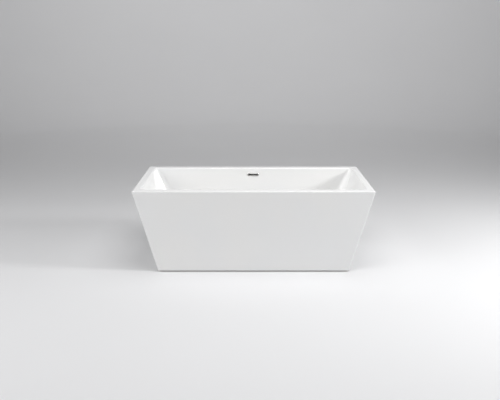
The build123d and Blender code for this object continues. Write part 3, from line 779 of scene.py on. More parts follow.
@dataclass(frozen=True)
class BasinForm:
    """The basin's hollow: walls that lean out towards the rim, and a wide blend into a level floor."""

    height: float
    half_length: float
    half_width: float
    end_rim: float = 50 * MM
    side_rim: float = 62 * MM
    depth: float = 430 * MM
    end_lean: float = math.radians(18)
    side_lean: float = math.radians(6)
    top_corner: float = 30 * MM
    floor_corner: float = 150 * MM
    floor_blend: float = 110 * MM
    rim_round: float = 8 * MM

    def _reach(self, z: float, at_rim: float, lean: float, grow: float) -> Tuple[float, float]:
        """One wall's distance from the middle, and how far it has left its straight slope.

        Args:
            z: The height.
            at_rim: The slope's distance at the rim's height.
            lean: Its angle from upright.
            grow: How far the face is moved out.

        Returns:
            The distance, and the distance less the straight slope's.
        """
        def slope(at: float) -> float:
            """The straight slope's distance."""
            return at_rim - (self.height - at) * math.tan(lean) + grow / math.cos(lean)

        blend = self.floor_blend + grow
        floor = self.height - self.depth - grow
        leaves_wall = floor + blend * (1 - math.sin(lean))
        if z < leaves_wall:
            centre = slope(leaves_wall) - blend * math.cos(lean)
            drop = blend - (z - floor)
            reach = centre + math.sqrt(max(blend ** 2 - drop ** 2, 0.0))
            return reach, reach - slope(z)
        turns_out = self.height - self.rim_round * (1 - math.sin(lean))
        if grow == 0 and z > turns_out:
            centre = slope(turns_out) + self.rim_round * math.cos(lean)
            rise = z - (self.height - self.rim_round)
            reach = centre - math.sqrt(max(self.rim_round ** 2 - rise ** 2, 0.0))
            return reach, reach - slope(z)
        return slope(z), 0.0

    def ring(self, spread: Spread, z: float, grow: float = 0.0) -> Ring:
        """The basin's outline at one height, its faces moved out by grow."""
        long, long_off = self._reach(z, self.half_length - self.end_rim, self.end_lean, grow)
        short, short_off = self._reach(z, self.half_width - self.side_rim, self.side_lean, grow)
        down = (self.height - z) / self.depth
        corner = self.top_corner + (self.floor_corner - self.top_corner) * down + grow
        return spread.ring(long, short, corner + (long_off + short_off) / 2, z)

    def floor_heights(self, grow: float = 0.0, steps: int = 9) -> List[float]:
        """Heights down the blend, evenly round its arc, the last one on the floor."""
        blend, floor = self.floor_blend + grow, self.height - self.depth - grow
        first = math.pi / 2 - self.side_lean
        return [floor + blend * (1 - math.cos(first * (1 - step / steps))) for step in range(steps + 1)]

    def rim_heights(self, steps: int = 6) -> List[float]:
        """Heights round the rim's inner edge, from the flat down to the wall."""
        middle = self.height - self.rim_round
        last = math.pi / 2 - self.side_lean
        return [middle + self.rim_round * math.cos(last * step / steps) for step in range(steps + 1)]


@dataclass(frozen=True)
class SkirtForm:
    """The tub's outside: its faces lean in towards the floor, most at the ends."""

    height: float
    half_length: float
    half_width: float
    half_base_length: float = 687.5 * MM
    half_base_width: float = 394 * MM
    edge: float = 5 * MM
    edge_start: float = math.radians(-15)
    corner: float = 8 * MM
    least_corner: float = 1 * MM
    end_slant: float = 1.037     # how far an end face moves along x, over how far square to itself

    def ring(self, spread: Spread, z: float, inset: float = 0.0) -> Ring:
        """The outside at one height, its faces moved in by inset."""
        down = (self.height - self.edge - z) / (self.height - self.edge)
        long = self.half_length - (self.half_length - self.half_base_length) * down
        short = self.half_width - (self.half_width - self.half_base_width) * down
        corner = max(self.corner - inset, self.least_corner)
        return spread.ring(long - self.end_slant * inset, short - inset, corner, z)

    def edge_rings(self, spread: Spread, steps: int = 5) -> List[Ring]:
        """Rings round the rim's outer edge, from the face up to the flat."""
        rings = []
        for step in range(steps + 1):
            turn = self.edge_start + (math.pi / 2 - self.edge_start) * step / steps
            inset = self.edge * (1 - math.cos(turn))
            z = self.height - self.edge + self.edge * math.sin(turn)
            long, short = self.half_length - inset, self.half_width - inset
            rings.append(spread.ring(long, short, self.corner - inset, z))
        return rings


@dataclass
class Shells:
    """The white basin and skirt."""

    stock: Stock
    sheet: float = 5 * MM
    lip: float = 15 * MM
    seat_depth: float = 4 * MM
    seat_radius: float = 44 * MM
    seat_blend: float = 5 * MM
    seat_steps: Tuple[float, ...] = (0.3, 0.6, 0.9)
    seat_inside: float = 2 * MM
    waste_hole: float = 25.5 * MM
    half_slot: float = 8 * MM
    slot_drop: float = 0.15 * MM     # the hole's middle is that far below the plate's
    skirt_round: float = 1.5 * MM
    skirt_steps: Tuple[float, ...] = (1.0, 0.67, 0.34, 0.0)
    spread: Spread = field(default_factory=Spread)

    def __post_init__(self) -> None:
        """Reads the tub's size and the waste's place from the frame."""
        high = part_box("bath_shell")[1]
        self.basin = BasinForm(high.z, high.x, high.y)
        self.outside = SkirtForm(high.z, high.x, high.y)
        self.seam = high.z - self.lip
        self.waste = middle_of("waste_flange")

    def _round_waste(self, ring: Ring, radius: float, z: float) -> Ring:
        """A level circle round the waste, with as many points as a ring, spread evenly."""
        middle = Vector((self.waste.x, self.waste.y, z))
        back = 0.5 + next(i for i in range(len(ring) - 1) if ring[i].x > 0.0 >= ring[i + 1].x)
        turns = [math.pi / 2 + math.tau * (number - back) / len(ring) for number in range(len(ring))]
        return arc(middle, radius, turns)

    def _slot_heights(self, behind: float) -> Tuple[float, float]:
        """The overflow hole's upper and lower height, on a face that far behind the wall's."""
        shift = behind * math.sin(self.basin.side_lean)
        centre = middle_of("overflow_trim").z - self.slot_drop - shift
        half = self.half_slot * math.cos(self.basin.side_lean)
        return centre + half, centre - half

    def _inside_rings(self) -> Tuple[List[Ring], int]:
        """The basin's face from the rim to the waste hole, and the overflow hole's first ring."""
        upper, lower = self._slot_heights(0.0)
        floor = self.basin.floor_heights()
        between = [lower + (floor[0] - lower) * part for part in (0.25, 0.5, 0.75)]
        heights = self.basin.rim_heights() + [upper, lower] + between + floor
        rings = [self.basin.ring(self.spread, z) for z in heights]
        start = heights.index(upper)
        edge, level = rings[-1], heights[-1]
        seat = level - self.seat_depth
        rings.append(self._round_waste(edge, self.seat_radius + self.seat_blend, level))
        for part in self.seat_steps:
            turn = part * math.pi / 2
            radius = self.seat_radius + self.seat_blend * (1 - math.sin(turn))
            rings.append(self._round_waste(edge, radius, level - self.seat_depth * (1 - math.cos(turn))))
        rings.append(self._round_waste(edge, self.seat_radius - self.seat_inside, seat))
        rings.append(self._round_waste(edge, self.waste_hole, seat))
        return rings, start

    def underside_rings(self, grow: float, top: float, spread: Spread,
                        rows: int = 4) -> Tuple[List[Ring], int]:
        """The face that lies behind the basin's, from the waste hole up to a height.

        Args:
            grow: How far it is moved out.
            top: The height it ends at.
            spread: How its points are spread.
            rows: Bands between the floor's blend and the overflow hole.

        Returns:
            The rings, and the overflow hole's first one.
        """
        upper, lower = self._slot_heights(grow)
        floor = self.basin.floor_heights(grow)[::-1]
        between = [floor[-1] + (lower - floor[-1]) * row / rows for row in range(1, rows)]
        heights = floor + between + [lower, upper, top]
        rings = [self.basin.ring(spread, z, grow) for z in heights]
        edge, level = rings[0], heights[0]
        seat = level - self.seat_depth
        around = [self._round_waste(edge, self.waste_hole, seat),
                  self._round_waste(edge, self.seat_radius + grow, seat),
                  self._round_waste(edge, self.seat_radius + self.seat_blend + grow, level)]
        return around + rings, len(around) + heights.index(lower)

    def build_bath(self) -> None:
        """The basin with its flat rim and down-turned lip, one formed sheet."""
        outer = [self.outside.ring(self.spread, self.seam)] + self.outside.edge_rings(self.spread)
        inner, slot = self._inside_rings()
        under_rim = self.basin.height - self.sheet
        below, slot_below = self.underside_rings(self.sheet, under_rim, self.spread)
        lip_inside = [self.outside.ring(self.spread, z, self.sheet) for z in (under_rim, self.seam)]
        front, back = len(outer) + slot, len(outer) + len(inner) + slot_below
        skin = Skin()
        skin.pierced(outer + inner + below + lip_inside, self.spread.hole_column(), front, back)
        self.stock.fit(skin, "bath_basin", "tub", "white_acrylic", "bath_shell")

    def build_skirt(self) -> None:
        """The skirt, its lower edge eased inside and out."""
        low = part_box("skirt")[0]
        ease = self.skirt_round
        turns = [math.pi / 2 * part for part in self.skirt_steps]
        places = [(low.z + ease * (1 - math.sin(turn)), ease * (1 - math.cos(turn))) for turn in turns]
        places += [(self.seam, 0.0), (self.seam, self.sheet), (low.z + ease, self.sheet)]
        places.append((low.z, self.sheet - ease))
        skin = Skin()
        skin.rows([self.outside.ring(self.spread, z, inset) for z, inset in places], loop=True)
        self.stock.fit(skin, "outer_skirt", "tub", "white_acrylic", "skirt")


@dataclass
class Backing:
    """The glass-fibre layer under the basin, laid by hand, so its outer face is uneven."""

    stock: Stock
    shells: Shells
    thickness: float = 3 * MM
    unevenness: float = 0.35
    lumps: float = 22.0
    rows: int = 14

    def build(self) -> None:
        """The layer, against the basin inside and rough outside."""
        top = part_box("glassfibre_backing")[1].z
        marks = (0.40, 0.34, 0.28, 0.22, 0.16, 0.10, HOLE_MARK)
        spread = Spread(10, marks + tuple(-mark for mark in reversed(marks)), (0.12, 0.04, -0.04, -0.12))
        sheet = self.shells.sheet
        inner, slot = self.shells.underside_rings(sheet, top, spread, self.rows)
        outer, _ = self.shells.underside_rings(sheet + self.thickness, top, spread, self.rows)
        rough = [[self._roughen(near, far) for near, far in zip(*rings)] for rings in zip(inner, outer)]
        skin = Skin()
        skin.pierced(inner + rough[::-1], spread.hole_column(), slot, 2 * len(inner) - slot - 2)
        names = ("glassfibre_layer", "tub", "glassfibre", "glassfibre_backing")
        self.stock.fit(skin, *names, sharp=50)

    def _roughen(self, near: Vector, far: Vector) -> Vector:
        """A point of the outer face, sunk towards the inner one by a random share."""
        lump = 0.5 + 0.5 * noise.noise(self.lumps * far)
        return far + (near - far) * self.unevenness * lump


# ---------------------------------------------------------------- the frame and its fixings

@dataclass
class Frame:
    """The steel frame's finish: the drawn tubes stay as they are, and the weld beads are added."""

    stock: Stock
    softening: float = 0.6 * MM
    bead: float = 2.2 * MM
    ripple: float = 3.5 * MM
    steps_to_ripple: int = 8
    swell: float = 0.14
    unevenness: float = 0.12
    lumps: float = 300.0
    thin_end: float = 0.45
    bead_sides: int = 8
    nut_across: float = 19 * MM
    nut_height: float = 10 * MM
    post_y: float = 365 * MM
    half_post: float = 10 * MM

    def dress(self) -> None:
        """Rounds the tubes' edges."""
        for node in frame["nodes"]:
            if node.startswith(("frame_", "rim_post_")) or node == "skirt_brackets":
                soften(self.stock.dress(node), self.softening)

    def _bead(self, skin: Skin, start: Vector, end: Vector) -> None:
        """Lays one weld bead between two points, with the ripples of its puddles."""
        length = (end - start).length
        steps = max(int(self.steps_to_ripple * length / self.ripple), self.steps_to_ripple)
        path = [start.lerp(end, step / steps) for step in range(steps + 1)]

        def reach(number: int) -> float:
            """The bead's radius at one point of its path."""
            along = length * number / steps
            wave = self.swell * math.cos(math.tau * along / self.ripple)
            lump = self.unevenness * noise.noise(self.lumps * path[number])
            from_end = min(along, length - along) / self.bead
            return self.bead * (1 + wave + lump) * min(1.0, self.thin_end + from_end)

        tube(skin, path, reach, self.bead_sides)

    def _bead_round(self, skin: Skin, middle: Vector, corners: Sequence[Tuple[float, float]]) -> None:
        """Lays beads from corner to corner round a level outline."""
        points = [middle + Vector((x, y, 0.0)) for x, y in corners]
        for number, point in enumerate(points):
            self._bead(skin, point, points[(number + 1) % len(points)])

    def build_welds(self) -> None:
        """Beads where cross tubes meet rails, where posts meet tubes and round the foot nuts."""
        skin = Skin()
        crosses = cross_tubes()
        nut_places = [middle_of("frame_cross_left_end").x, 0.0, middle_of("frame_cross_right_end").x]
        radius = hexagon_radius(self.nut_across)
        turns = [math.tau * number / 6 for number in range(6)]
        hexagon = [(radius * math.cos(turn), radius * math.sin(turn)) for turn in turns]
        for rail in ("frame_rail_front", "frame_rail_back"):
            rail_low, rail_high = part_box(rail)
            for x in (end.x for cross in crosses for end in cross):
                start = Vector((x, rail_low.y + self.bead, crosses[0][0].z))
                self._bead(skin, start, Vector((x, rail_high.y - self.bead, start.z)))
            for x in nut_places:
                under = Vector((x, (rail_low.y + rail_high.y) / 2, rail_low.z + self.nut_height))
                self._bead_round(skin, under, hexagon)
        half = self.half_post
        for post in ("front_left", "front_right", "back_left", "back_right"):
            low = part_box("rim_post_" + post)[0]
            middle = Vector((middle_of("rim_post_" + post).x, math.copysign(self.post_y, low.y), low.z))
            self._bead_round(skin, middle, [(half, half), (-half, half), (-half, -half), (half, -half)])
        self.stock.fit(skin, "frame_welds", "tub", "zinc_steel", sharp=60)


@dataclass
class Fixings:
    """Hexagon-headed screws with a pressed washer face, and the plugs in the tubes' ends."""

    stock: Stock
    across: float = 10 * MM
    washer: float = 0.8 * MM
    washer_radius: float = 6.2 * MM
    washer_ease: float = 0.3 * MM
    board_shank: float = 3 * MM
    bracket_shank: float = 2.5 * MM
    bracket_head: float = 3 * MM
    bracket_sheet: float = 3 * MM
    bracket_y: float = 350 * MM
    softening: float = 0.3 * MM
    count: int = 36

    def _screw(self, skin: Skin, place: Matrix, head: float, shank: float, length: float) -> None:
        """Adds one screw.

        Args:
            skin: The mesh that it joins.
            place: The head's outer face: its middle, with the shank along local z.
            head: The head's height.
            shank: The shank's radius.
            length: The shank's length.
        """
        flats = head - self.washer
        profile = [
            (self.washer_radius - self.washer_ease, flats),
            (self.washer_radius, flats + self.washer_ease),
            (self.washer_radius, head),
            (shank, head),
            (shank, head + length),
        ]
        rings = hexagon_rows(Vector(), self.across, flats, self.count) + stack(profile, self.count)
        skin.closed(placed(rings, place))

    def build_board_screws(self) -> None:
        """The screws up through the cross tubes into the baseboard."""
        skin = Skin()
        low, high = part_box("board_screws")
        for cross_low, cross_high in cross_tubes():
            for y in (low.y + self.across / 2, high.y - self.across / 2):
                spot = Vector(((cross_low.x + cross_high.x) / 2, y, low.z))
                head, length = cross_low.z - low.z, high.z - cross_low.z
                self._screw(skin, Matrix.Translation(spot), head, self.board_shank, length)
        self.stock.fit(skin, "board_screws_hex", "tub", "zinc_steel", "board_screws")

    def build_bracket_screws(self) -> None:
        """The brackets' screws, up into the end tubes and out into the battens."""
        skin = Skin()
        low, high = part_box("bracket_screws")
        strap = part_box("skirt_brackets")[1].y
        sheet, head = self.bracket_sheet, self.bracket_head
        for cross_low, cross_high in cross_tubes()[::3]:
            x = (cross_low.x + cross_high.x) / 2
            for way in (-1, 1):
                up = Vector((x, way * self.bracket_y, cross_low.z - sheet - head - self.washer))
                length = high.z - cross_low.z + sheet
                self._screw(skin, Matrix.Translation(up), head + self.washer, self.bracket_shank, length)
                side = way * (strap - sheet - head - self.washer)
                spot = (x, side, low.z + hexagon_radius(self.across))
                out = Matrix.Translation(spot) @ Matrix.Rotation(-way * math.pi / 2, 4, "X")
                self._screw(skin, out, head + self.washer, self.bracket_shank, high.y - strap + sheet)
        self.stock.fit(skin, "bracket_screws_hex", "tub", "zinc_steel", "bracket_screws")

    def dress(self) -> None:
        """Eases the edges of the plugs in the tubes' ends."""
        soften(self.stock.dress("tube_end_caps"), self.softening)


@dataclass
class Timber:
    """The battens and the baseboard: cut edges eased, each with the grain along its length."""

    stock: Stock
    softening: float = 0.7 * MM

    def dress(self) -> None:
        """Dresses every batten and the board."""
        for node in frame["nodes"]:
            if "_batten_" in node:
                across = node.endswith(("left", "right"))
                soften(self.stock.dress(node, "plywood_across" if across else "plywood"), self.softening)
        soften(self.stock.dress("baseboard"), self.softening)


@dataclass
class Feet:
    """Six screw feet: a ribbed pad, a threaded screw with a spanner collar, and a lock nut each."""

    stock: Stock
    pitch: float = 1.75 * MM
    thread_radius: float = 5.88 * MM
    thread_depth: float = 1.05 * MM
    flank: Tuple[float, float] = (1.4, 0.2)      # how steep it is, and how wide the crest
    steps_to_turn: int = 6
    plain_end: float = 1 * MM
    end_taper: float = 0.3 * MM
    collar: Tuple[float, float] = (16 * MM, 22 * MM)
    collar_across: float = 17 * MM
    nut_across: float = 19 * MM
    bore: float = 6 * MM
    bore_bevel: float = 0.7 * MM
    ribs: int = 16
    steps_to_rib: int = 6
    rib_rise: float = 1.3 * MM
    rib_power: float = 0.5
    count: int = 36
    # The pad's outline in millimetres, from the middle of the sole round to the socket's bottom:
    # radius and height, and for the cone the ribs' rise as a share of their full one.
    pad_sole: Outline = (
        (4.0, 0.0), (8.0, 0.0), (8.4, 0.9), (10.6, 0.9), (11.0, 0.0), (14.5, 0.0), (14.9, 0.9),
        (17.1, 0.9), (17.5, 0.0), (22.6, 0.0), (23.6, 0.4), (24.0, 1.2), (24.0, 4.2), (23.6, 4.8),
    )
    pad_cone: Outline = (
        (22.8, 5.2, 0.0), (21.8, 5.5, 0.9), (16.5, 7.5, 1.0), (12.0, 9.4, 1.0), (11.2, 10.1, 0.2))
    pad_socket: Outline = (
        (11.0, 10.6), (11.0, 13.4), (10.5, 14.0), (6.7, 14.0), (6.15, 13.4), (6.15, 3.0))

    def _thread(self, foot: Vector, low: float, high: float) -> List[Ring]:
        """A right-hand thread's rings between two heights."""
        steps = round((high - low) / self.pitch * self.steps_to_turn)
        steep, crest = self.flank

        def reach_at(z: float) -> Callable[[float], float]:
            """The thread's radius at each angle: a V with a flat root and crest."""
            def reach(turn: float) -> float:
                """The radius at one angle."""
                phase = (z / self.pitch - turn / math.tau) % 1.0
                sunk = min(max(abs(2 * phase - 1) * steep - crest, 0.0), 1.0)
                return self.thread_radius - self.thread_depth * sunk

            return reach

        heights = [low + (high - low) * step / steps for step in range(steps + 1)]
        return stack([(reach_at(z), z) for z in heights], self.count, foot)

    def _build_screw(self, number: int, foot: Vector) -> None:
        """One foot's threaded screw with its hexagon collar."""
        low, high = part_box(f"foot_stud_{number}")
        collar_low, collar_high = self.collar
        collar_foot = foot + Vector((0, 0, collar_low))
        tip = self.thread_radius - self.thread_depth - self.end_taper
        rings = stack([(tip, low.z)], self.count, foot)
        rings += self._thread(foot, low.z + self.plain_end, collar_low)
        rings += hexagon_rows(collar_foot, self.collar_across, collar_high - collar_low, self.count)
        rings += self._thread(foot, collar_high, high.z - self.plain_end)
        rings += stack([(tip, high.z)], self.count, foot)
        skin = Skin()
        skin.closed(rings)
        name, body, node = f"foot_screw_{number}", f"screw_{number}", f"foot_stud_{number}"
        self.stock.fit(skin, name, body, "zinc_steel", node, sharp=30)

    def _build_pad(self, number: int, foot: Vector) -> None:
        """One foot's pad: grooved underneath, ribbed on top, with a socket for the screw."""
        count = self.steps_to_rib * self.ribs
        turns = [math.tau * step / count for step in range(count)]
        ridges = [max(math.cos(self.ribs * turn), 0.0) ** self.rib_power for turn in turns]
        rings = stack([(radius * MM, z * MM) for radius, z in self.pad_sole], count, foot)
        for radius, z, share in self.pad_cone:
            ring = circle(foot, radius * MM, count)
            lifts = [z * MM + share * self.rib_rise * ridge for ridge in ridges]
            rings.append([point + Vector((0, 0, lift)) for point, lift in zip(ring, lifts)])
        rings += stack([(radius * MM, z * MM) for radius, z in self.pad_socket], count, foot)
        skin = Skin()
        skin.closed(rings)
        name, body, node = f"foot_pad_ribbed_{number}", f"foot_{number}", f"foot_pad_{number}"
        self.stock.fit(skin, name, body, "black_nylon", node, sharp=40)

    def _add_nut(self, skin: Skin, foot: Vector, height: float) -> None:
        """A chamfered hexagon nut with a chamfered bore."""
        bevel = self.bore_bevel
        mouth = self.bore + bevel
        profile = [(mouth, height), (self.bore, height - bevel), (self.bore, bevel), (mouth, 0.0)]
        outside = hexagon_rows(foot, self.nut_across, height, self.count)
        skin.rows(outside + stack(profile, self.count, foot), loop=True)

    def build(self) -> None:
        """All six feet and their lock nuts."""
        nuts = Skin()
        nut_low, nut_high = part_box("foot_lock_nuts")
        for number in range(1, 7):
            middle = middle_of(f"foot_pad_{number}")
            foot = Vector((middle.x, middle.y, 0.0))
            self._build_pad(number, foot)
            self._build_screw(number, foot)
            self._add_nut(nuts, foot + Vector((0, 0, nut_low.z)), nut_high.z - nut_low.z)
        self.stock.fit(nuts, "lock_nuts_hex", "tub", "zinc_steel", "foot_lock_nuts")


# ---------------------------------------------------------------- waste, overflow and trap

@dataclass
class Waste:
    """The push-open waste: its domed cap is made here, and the other pieces are dressed."""

    stock: Stock
    edge: float = 1.5 * MM
    roll: float = 0.6 * MM
    roll_steps: int = 4
    dish: float = 1.2 * MM
    dish_inside: float = 3 * MM
    dish_margin: float = 8 * MM
    rim_margin: float = 6.5 * MM
    crown_steps: int = 15
    crown_spread: float = 1.5
    crown_drop: float = 0.1 * MM     # at the edge
    softening: float = 0.35 * MM
    count: int = 96

    def build_cap(self) -> None:
        """The domed cap, its rim rolled over and its underside dished."""
        low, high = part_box("popup_cap")
        radius, crown = (high.x - low.x) / 2, high.z - low.z - self.edge
        profile = [
            (self.dish_inside, self.dish),
            (radius - self.dish_margin, self.dish),
            (radius - self.rim_margin, 0.0),
            (radius - self.roll, 0.0),
        ]
        for step in range(1, self.roll_steps + 1):
            turn = math.pi / 2 * step / self.roll_steps
            profile.append((radius - self.roll * (1 - math.sin(turn)), self.roll * (1 - math.cos(turn))))
        for step in range(1, self.crown_steps):
            share = 1 - (step / self.crown_steps) ** self.crown_spread
            height = self.edge + crown * (1 - share ** 2) - self.crown_drop * share
            profile.append((radius * share, height))
        middle = middle_of("popup_cap")
        skin = Skin()
        skin.closed(stack(profile, self.count, Vector((middle.x, middle.y, low.z))))
        self.stock.fit(skin, "plug_cap_domed", "plug", "chrome", "popup_cap", sharp=60)

    def dress(self) -> None:
        """Eases the edges of the pieces that stay as drawn."""
        for node in ("waste_flange", "waste_body", "popup_stem", "popup_cartridge"):
            soften(self.stock.dress(node), self.softening)


@dataclass
class Overflow:
    """The overflow: a slotted metal plate on the wall, and the parts behind it."""

    stock: Stock
    lean: float = math.radians(6)
    half_plate: Tuple[float, float] = (45 * MM, 10.5 * MM)
    half_slot: Tuple[float, float] = (39 * MM, 5.75 * MM)
    half_collar: Tuple[float, float] = (41 * MM, 7.5 * MM)
    plate_corner: float = 3 * MM
    slot_corner: float = 4 * MM
    corner_steps: int = 6
    roll_steps: int = 4
    thick: float = 3 * MM
    roll: float = 1.2 * MM
    eased: float = 0.5 * MM
    collar_end: float = -14 * MM
    softening: float = 0.5 * MM

    def _wall(self) -> Matrix:
        """The wall's own frame at the plate: x along the tub, y up the wall and z into the basin."""
        low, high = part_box("overflow_trim")
        out = Vector((0.0, -math.cos(self.lean), math.sin(self.lean)))
        up = Vector((0.0, math.sin(self.lean), math.cos(self.lean)))
        along = Vector((1.0, 0.0, 0.0))
        turn = Matrix((along, up, out)).transposed().to_4x4()
        y_low = low.y - self.thick * out.y + self.half_plate[1] * up.y
        foot = Vector((0.0, y_low, high.z - self.half_plate[1] * up.z - self.thick * out.z))
        return Matrix.Translation(foot) @ turn

    def _outline(self, half: Tuple[float, float], corner: float, height: float,
                 inset: float = 0.0) -> Ring:
        """A rounded rectangle about the wall's origin, its sides moved in by inset."""
        corners = rounded_corners(half[0] - inset, half[1] - inset, corner, height, self.corner_steps)
        return [point for run in corners for point in run]

    def build_plate(self) -> None:
        """The plate with its rolled edge, its slot and the collar through the wall."""
        rings = []
        for step in range(self.roll_steps + 1):
            turn = math.pi / 2 * step / self.roll_steps
            inset = self.roll * (1 - math.sin(turn))
            lift = self.thick - self.roll * (1 - math.cos(turn))
            rings.append(self._outline(self.half_plate, self.plate_corner - inset / 2, lift, inset))
        rings += [
            self._outline(self.half_plate, self.plate_corner, 0.0),
            self._outline(self.half_collar, self.plate_corner, 0.0),
            self._outline(self.half_collar, self.plate_corner, self.collar_end),
            self._outline(self.half_slot, self.slot_corner, self.collar_end),
            self._outline(self.half_slot, self.slot_corner, self.thick - self.eased),
            self._outline(self.half_slot, self.slot_corner + self.eased, self.thick, -self.eased),
        ]
        skin = Skin()
        skin.rows(placed(rings, self._wall()), loop=True)
        names = ("overflow_plate", "tub", "chrome", "overflow_trim")
        self.stock.fit(skin, *names, sharp=30, finish="chrome_satin")

    def dress(self) -> None:
        """Eases the chamber's edges."""
        soften(self.stock.dress("overflow_body"), self.softening)


@dataclass
class SlipNuts:
    """Ribbed plastic nuts on the trap's and the overflow's joints."""

    stock: Stock
    ribs: int = 12
    steps_to_rib: int = 8
    rib_depth: float = 1.3 * MM
    rib_power: float = 0.6
    bevel: float = 1.2 * MM
    band: Tuple[float, float] = (3.0, 2.4)       # where the ribs end, in bevels from the upper face
    band_taper: float = 0.2 * MM
    flare: float = 0.4 * MM
    trap_nut: Triple = (28 * MM, 21.1 * MM, 18 * MM)
    overflow_nut: Triple = (21.8 * MM, 16.1 * MM, 14 * MM)
    outlet_radius: float = 21 * MM

    def _build(self, name: str, node: str, size: Triple, places: Iterable[Matrix]) -> None:
        """Makes one size of nut.

        Args:
            name: The piece's name.
            node: The CAD node that it stands for.
            size: The nut's radius, its bore and its length.
            places: Each nut's middle, with its axis along local z.
        """
        radius, bore, length = size
        half, valley, bevel, flare = length / 2, radius - self.rib_depth, self.bevel, self.flare

        def ribbed(inset: float) -> Callable[[float], float]:
            """The nut's radius at each angle: rounded ribs with flat valleys."""
            def reach(turn: float) -> float:
                """The radius at one angle."""
                ridge = max(math.cos(self.ribs * turn), 0.0) ** self.rib_power
                return radius - inset - self.rib_depth * (1 - ridge)

            return reach

        profile = [
            (ribbed(bevel), -half),
            (ribbed(0.0), bevel - half),
            (ribbed(0.0), half - self.band[0] * bevel),
            (valley, half - self.band[1] * bevel),
            (valley - self.band_taper, half - bevel),
            (valley - bevel, half),
            (bore + flare, half),
            (bore, half - flare),
            (bore, flare - half),
            (bore + flare, -half),
        ]
        rings = stack(profile, self.steps_to_rib * self.ribs)
        skin = Skin()
        for place in places:
            skin.rows(placed(rings, place), loop=True)
        self.stock.fit(skin, name, "tub", "grey_plastic", node, sharp=40)

    def build(self) -> None:
        """The trap's three nuts, and the overflow's four at the ends of its two pipes."""
        middle = middle_of("waste_flange").y
        tail = middle_of("outlet_tail").x
        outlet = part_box("outlet_elbow")[1].z - self.outlet_radius
        on_its_side = Matrix.Rotation(math.pi / 2, 4, "Y")
        turned_over = Matrix.Rotation(math.pi, 4, "X")
        lying = Matrix.Rotation(math.pi / 2, 4, "X")
        self._build("trap_nuts_ribbed", "trap_slip_nuts", self.trap_nut, [
            Matrix.Translation((0.0, middle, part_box("waste_body")[0].z)),
            Matrix.Translation((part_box("trap_body")[0].x, middle, outlet)) @ on_its_side,
            Matrix.Translation((tail, middle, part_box("outlet_tail")[1].z)) @ turned_over,
        ])
        level = middle_of("overflow_pipe_lower").z
        upright = middle_of("overflow_pipe_upright").y
        elbow_low, elbow_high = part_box("overflow_elbow")
        self._build("overflow_nuts_ribbed", "overflow_slip_nuts", self.overflow_nut, [
            Matrix.Translation((0.0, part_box("waste_body")[1].y, level)) @ lying,
            Matrix.Translation((0.0, elbow_low.y, level)) @ lying.inverted(),
            Matrix.Translation((0.0, upright, elbow_high.z)) @ turned_over,
            Matrix.Translation((0.0, upright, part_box("overflow_body")[0].z)),
        ])


def dress_everything(stock: Stock) -> None:
    """Gives every CAD node that still shows its finish."""
    for node in frame["nodes"]:
        stock.dress(node)


# ---------------------------------------------------------------- the studio

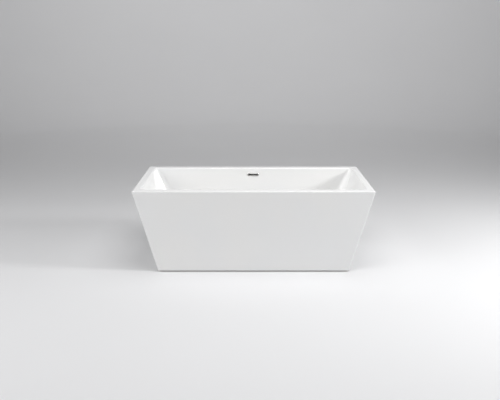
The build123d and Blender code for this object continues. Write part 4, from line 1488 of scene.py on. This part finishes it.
@dataclass
class Studio:
    """A pale floor that sweeps up into a wall all round, soft lights and the camera."""

    floor_radius: float = 6.5
    floor_steps: Tuple[float, ...] = (0.4, 1.5, 3.0, 4.5)
    sweep: float = 4.0
    sweep_steps: int = 14
    count: int = 96
    wall_top: float = 9.0
    eye: Vector = field(default_factory=lambda: Vector((-0.0254, -4.423, 1.682)))
    pitch: float = math.radians(15.84)
    lens: float = 43.18
    sensor: float = 36.0

    def build_floor(self) -> None:
        """The floor and the wall that it sweeps up into."""
        skin = Skin()
        profile = [(radius, 0.0) for radius in self.floor_steps + (self.floor_radius,)]
        for step in range(1, self.sweep_steps + 1):
            turn = math.pi / 2 * step / self.sweep_steps
            out, up = self.sweep * math.sin(turn), self.sweep * (1 - math.cos(turn))
            profile.append((self.floor_radius + out, up))
        profile.append((self.floor_radius + self.sweep, self.wall_top))
        made = skin.rows(stack(profile, self.count))
        skin.cap(made[0])
        floor = skin.piece("studio_floor", StudioPaint("studio_paint").material(), 80)

    @staticmethod
    def add_light(name: str, place: Triple, aim: Triple, size: Tuple[float, float],
                  watts: float) -> None:
        """Hangs a soft rectangular light.

        Args:
            name: The light's name.
            place: Where it hangs, in metres.
            aim: The point that it faces.
            size: Its width and height.
            watts: Its power.
        """
        data = bpy.data.lights.new(name, "AREA")
        data.shape = "RECTANGLE"
        data.size, data.size_y = size
        data.energy = watts
        made = bpy.data.objects.new(name, data)
        made.location = place
        made.rotation_euler = (Vector(aim) - Vector(place)).to_track_quat("-Z", "Y").to_euler()
        bpy.context.scene.collection.objects.link(made)

    def light(self) -> None:
        """A low key from the right, soft light from left, front and above, and a washed wall."""
        tub, ground = (0.0, 0.0, 0.4), (0.6, -0.9, 0.0)
        self.add_light("key", (4.0, -1.0, 2.25), tub, (0.8, 0.8), 122.0)
        self.add_light("left_soft", (-4.2, -1.5, 2.8), tub, (4.2, 3.6), 94.0)
        self.add_light("front_soft", (-4.2, -3.9, 2.8), tub, (4.0, 3.0), 63.0)
        self.add_light("near_overhead", (0.2, -0.3, 3.2), (0.2, -0.3, 0.0), (2.0, 2.0), 32.0)
        self.add_light("front_overhead", (0.6, -1.8, 4.2), ground, (3.0, 2.0), 50.0)
        self.add_light("wall_wash", (0.0, 4.5, 6.5), (0.0, 11.0, 3.5), (8.0, 2.0), 258.0)
        world = bpy.data.worlds.new("studio_air")
        world.use_nodes = True
        air = world.node_tree.nodes["Background"]
        air.inputs["Color"].default_value = (0.92, 0.94, 1.0, 1.0)
        air.inputs["Strength"].default_value = 0.03
        bpy.context.scene.world = world

    def set_camera(self) -> None:
        """Stands the camera in front of the tub, looking down at it."""
        data = bpy.data.cameras.new("camera")
        data.lens = self.lens
        data.sensor_width = self.sensor
        made = bpy.data.objects.new("camera", data)
        made.location = self.eye
        made.rotation_euler = (math.pi / 2 - self.pitch, 0.0, 0.0)
        bpy.context.scene.collection.objects.link(made)
        bpy.context.scene.camera = made
        bpy.context.scene.view_settings.view_transform = "Standard"


def main() -> None:
    """Builds the tub and the studio, and reports each piece."""
    logging.basicConfig(level=logging.INFO, format="%(name)s: %(message)s")
    studio = Studio()
    studio.set_camera()
    studio.build_floor()
    studio.light()
    stock = Stock()
    dress_everything(stock)
    shells = Shells(stock)
    shells.build_bath()
    shells.build_skirt()
    Backing(stock, shells).build()
    steel = Frame(stock)
    steel.dress()
    steel.build_welds()
    fixings = Fixings(stock)
    fixings.build_board_screws()
    fixings.build_bracket_screws()
    fixings.dress()
    Timber(stock).dress()
    Feet(stock).build()
    waste = Waste(stock)
    waste.build_cap()
    waste.dress()
    overflow = Overflow(stock)
    overflow.build_plate()
    overflow.dress()
    SlipNuts(stock).build()


if __name__ == "__main__":
    main()
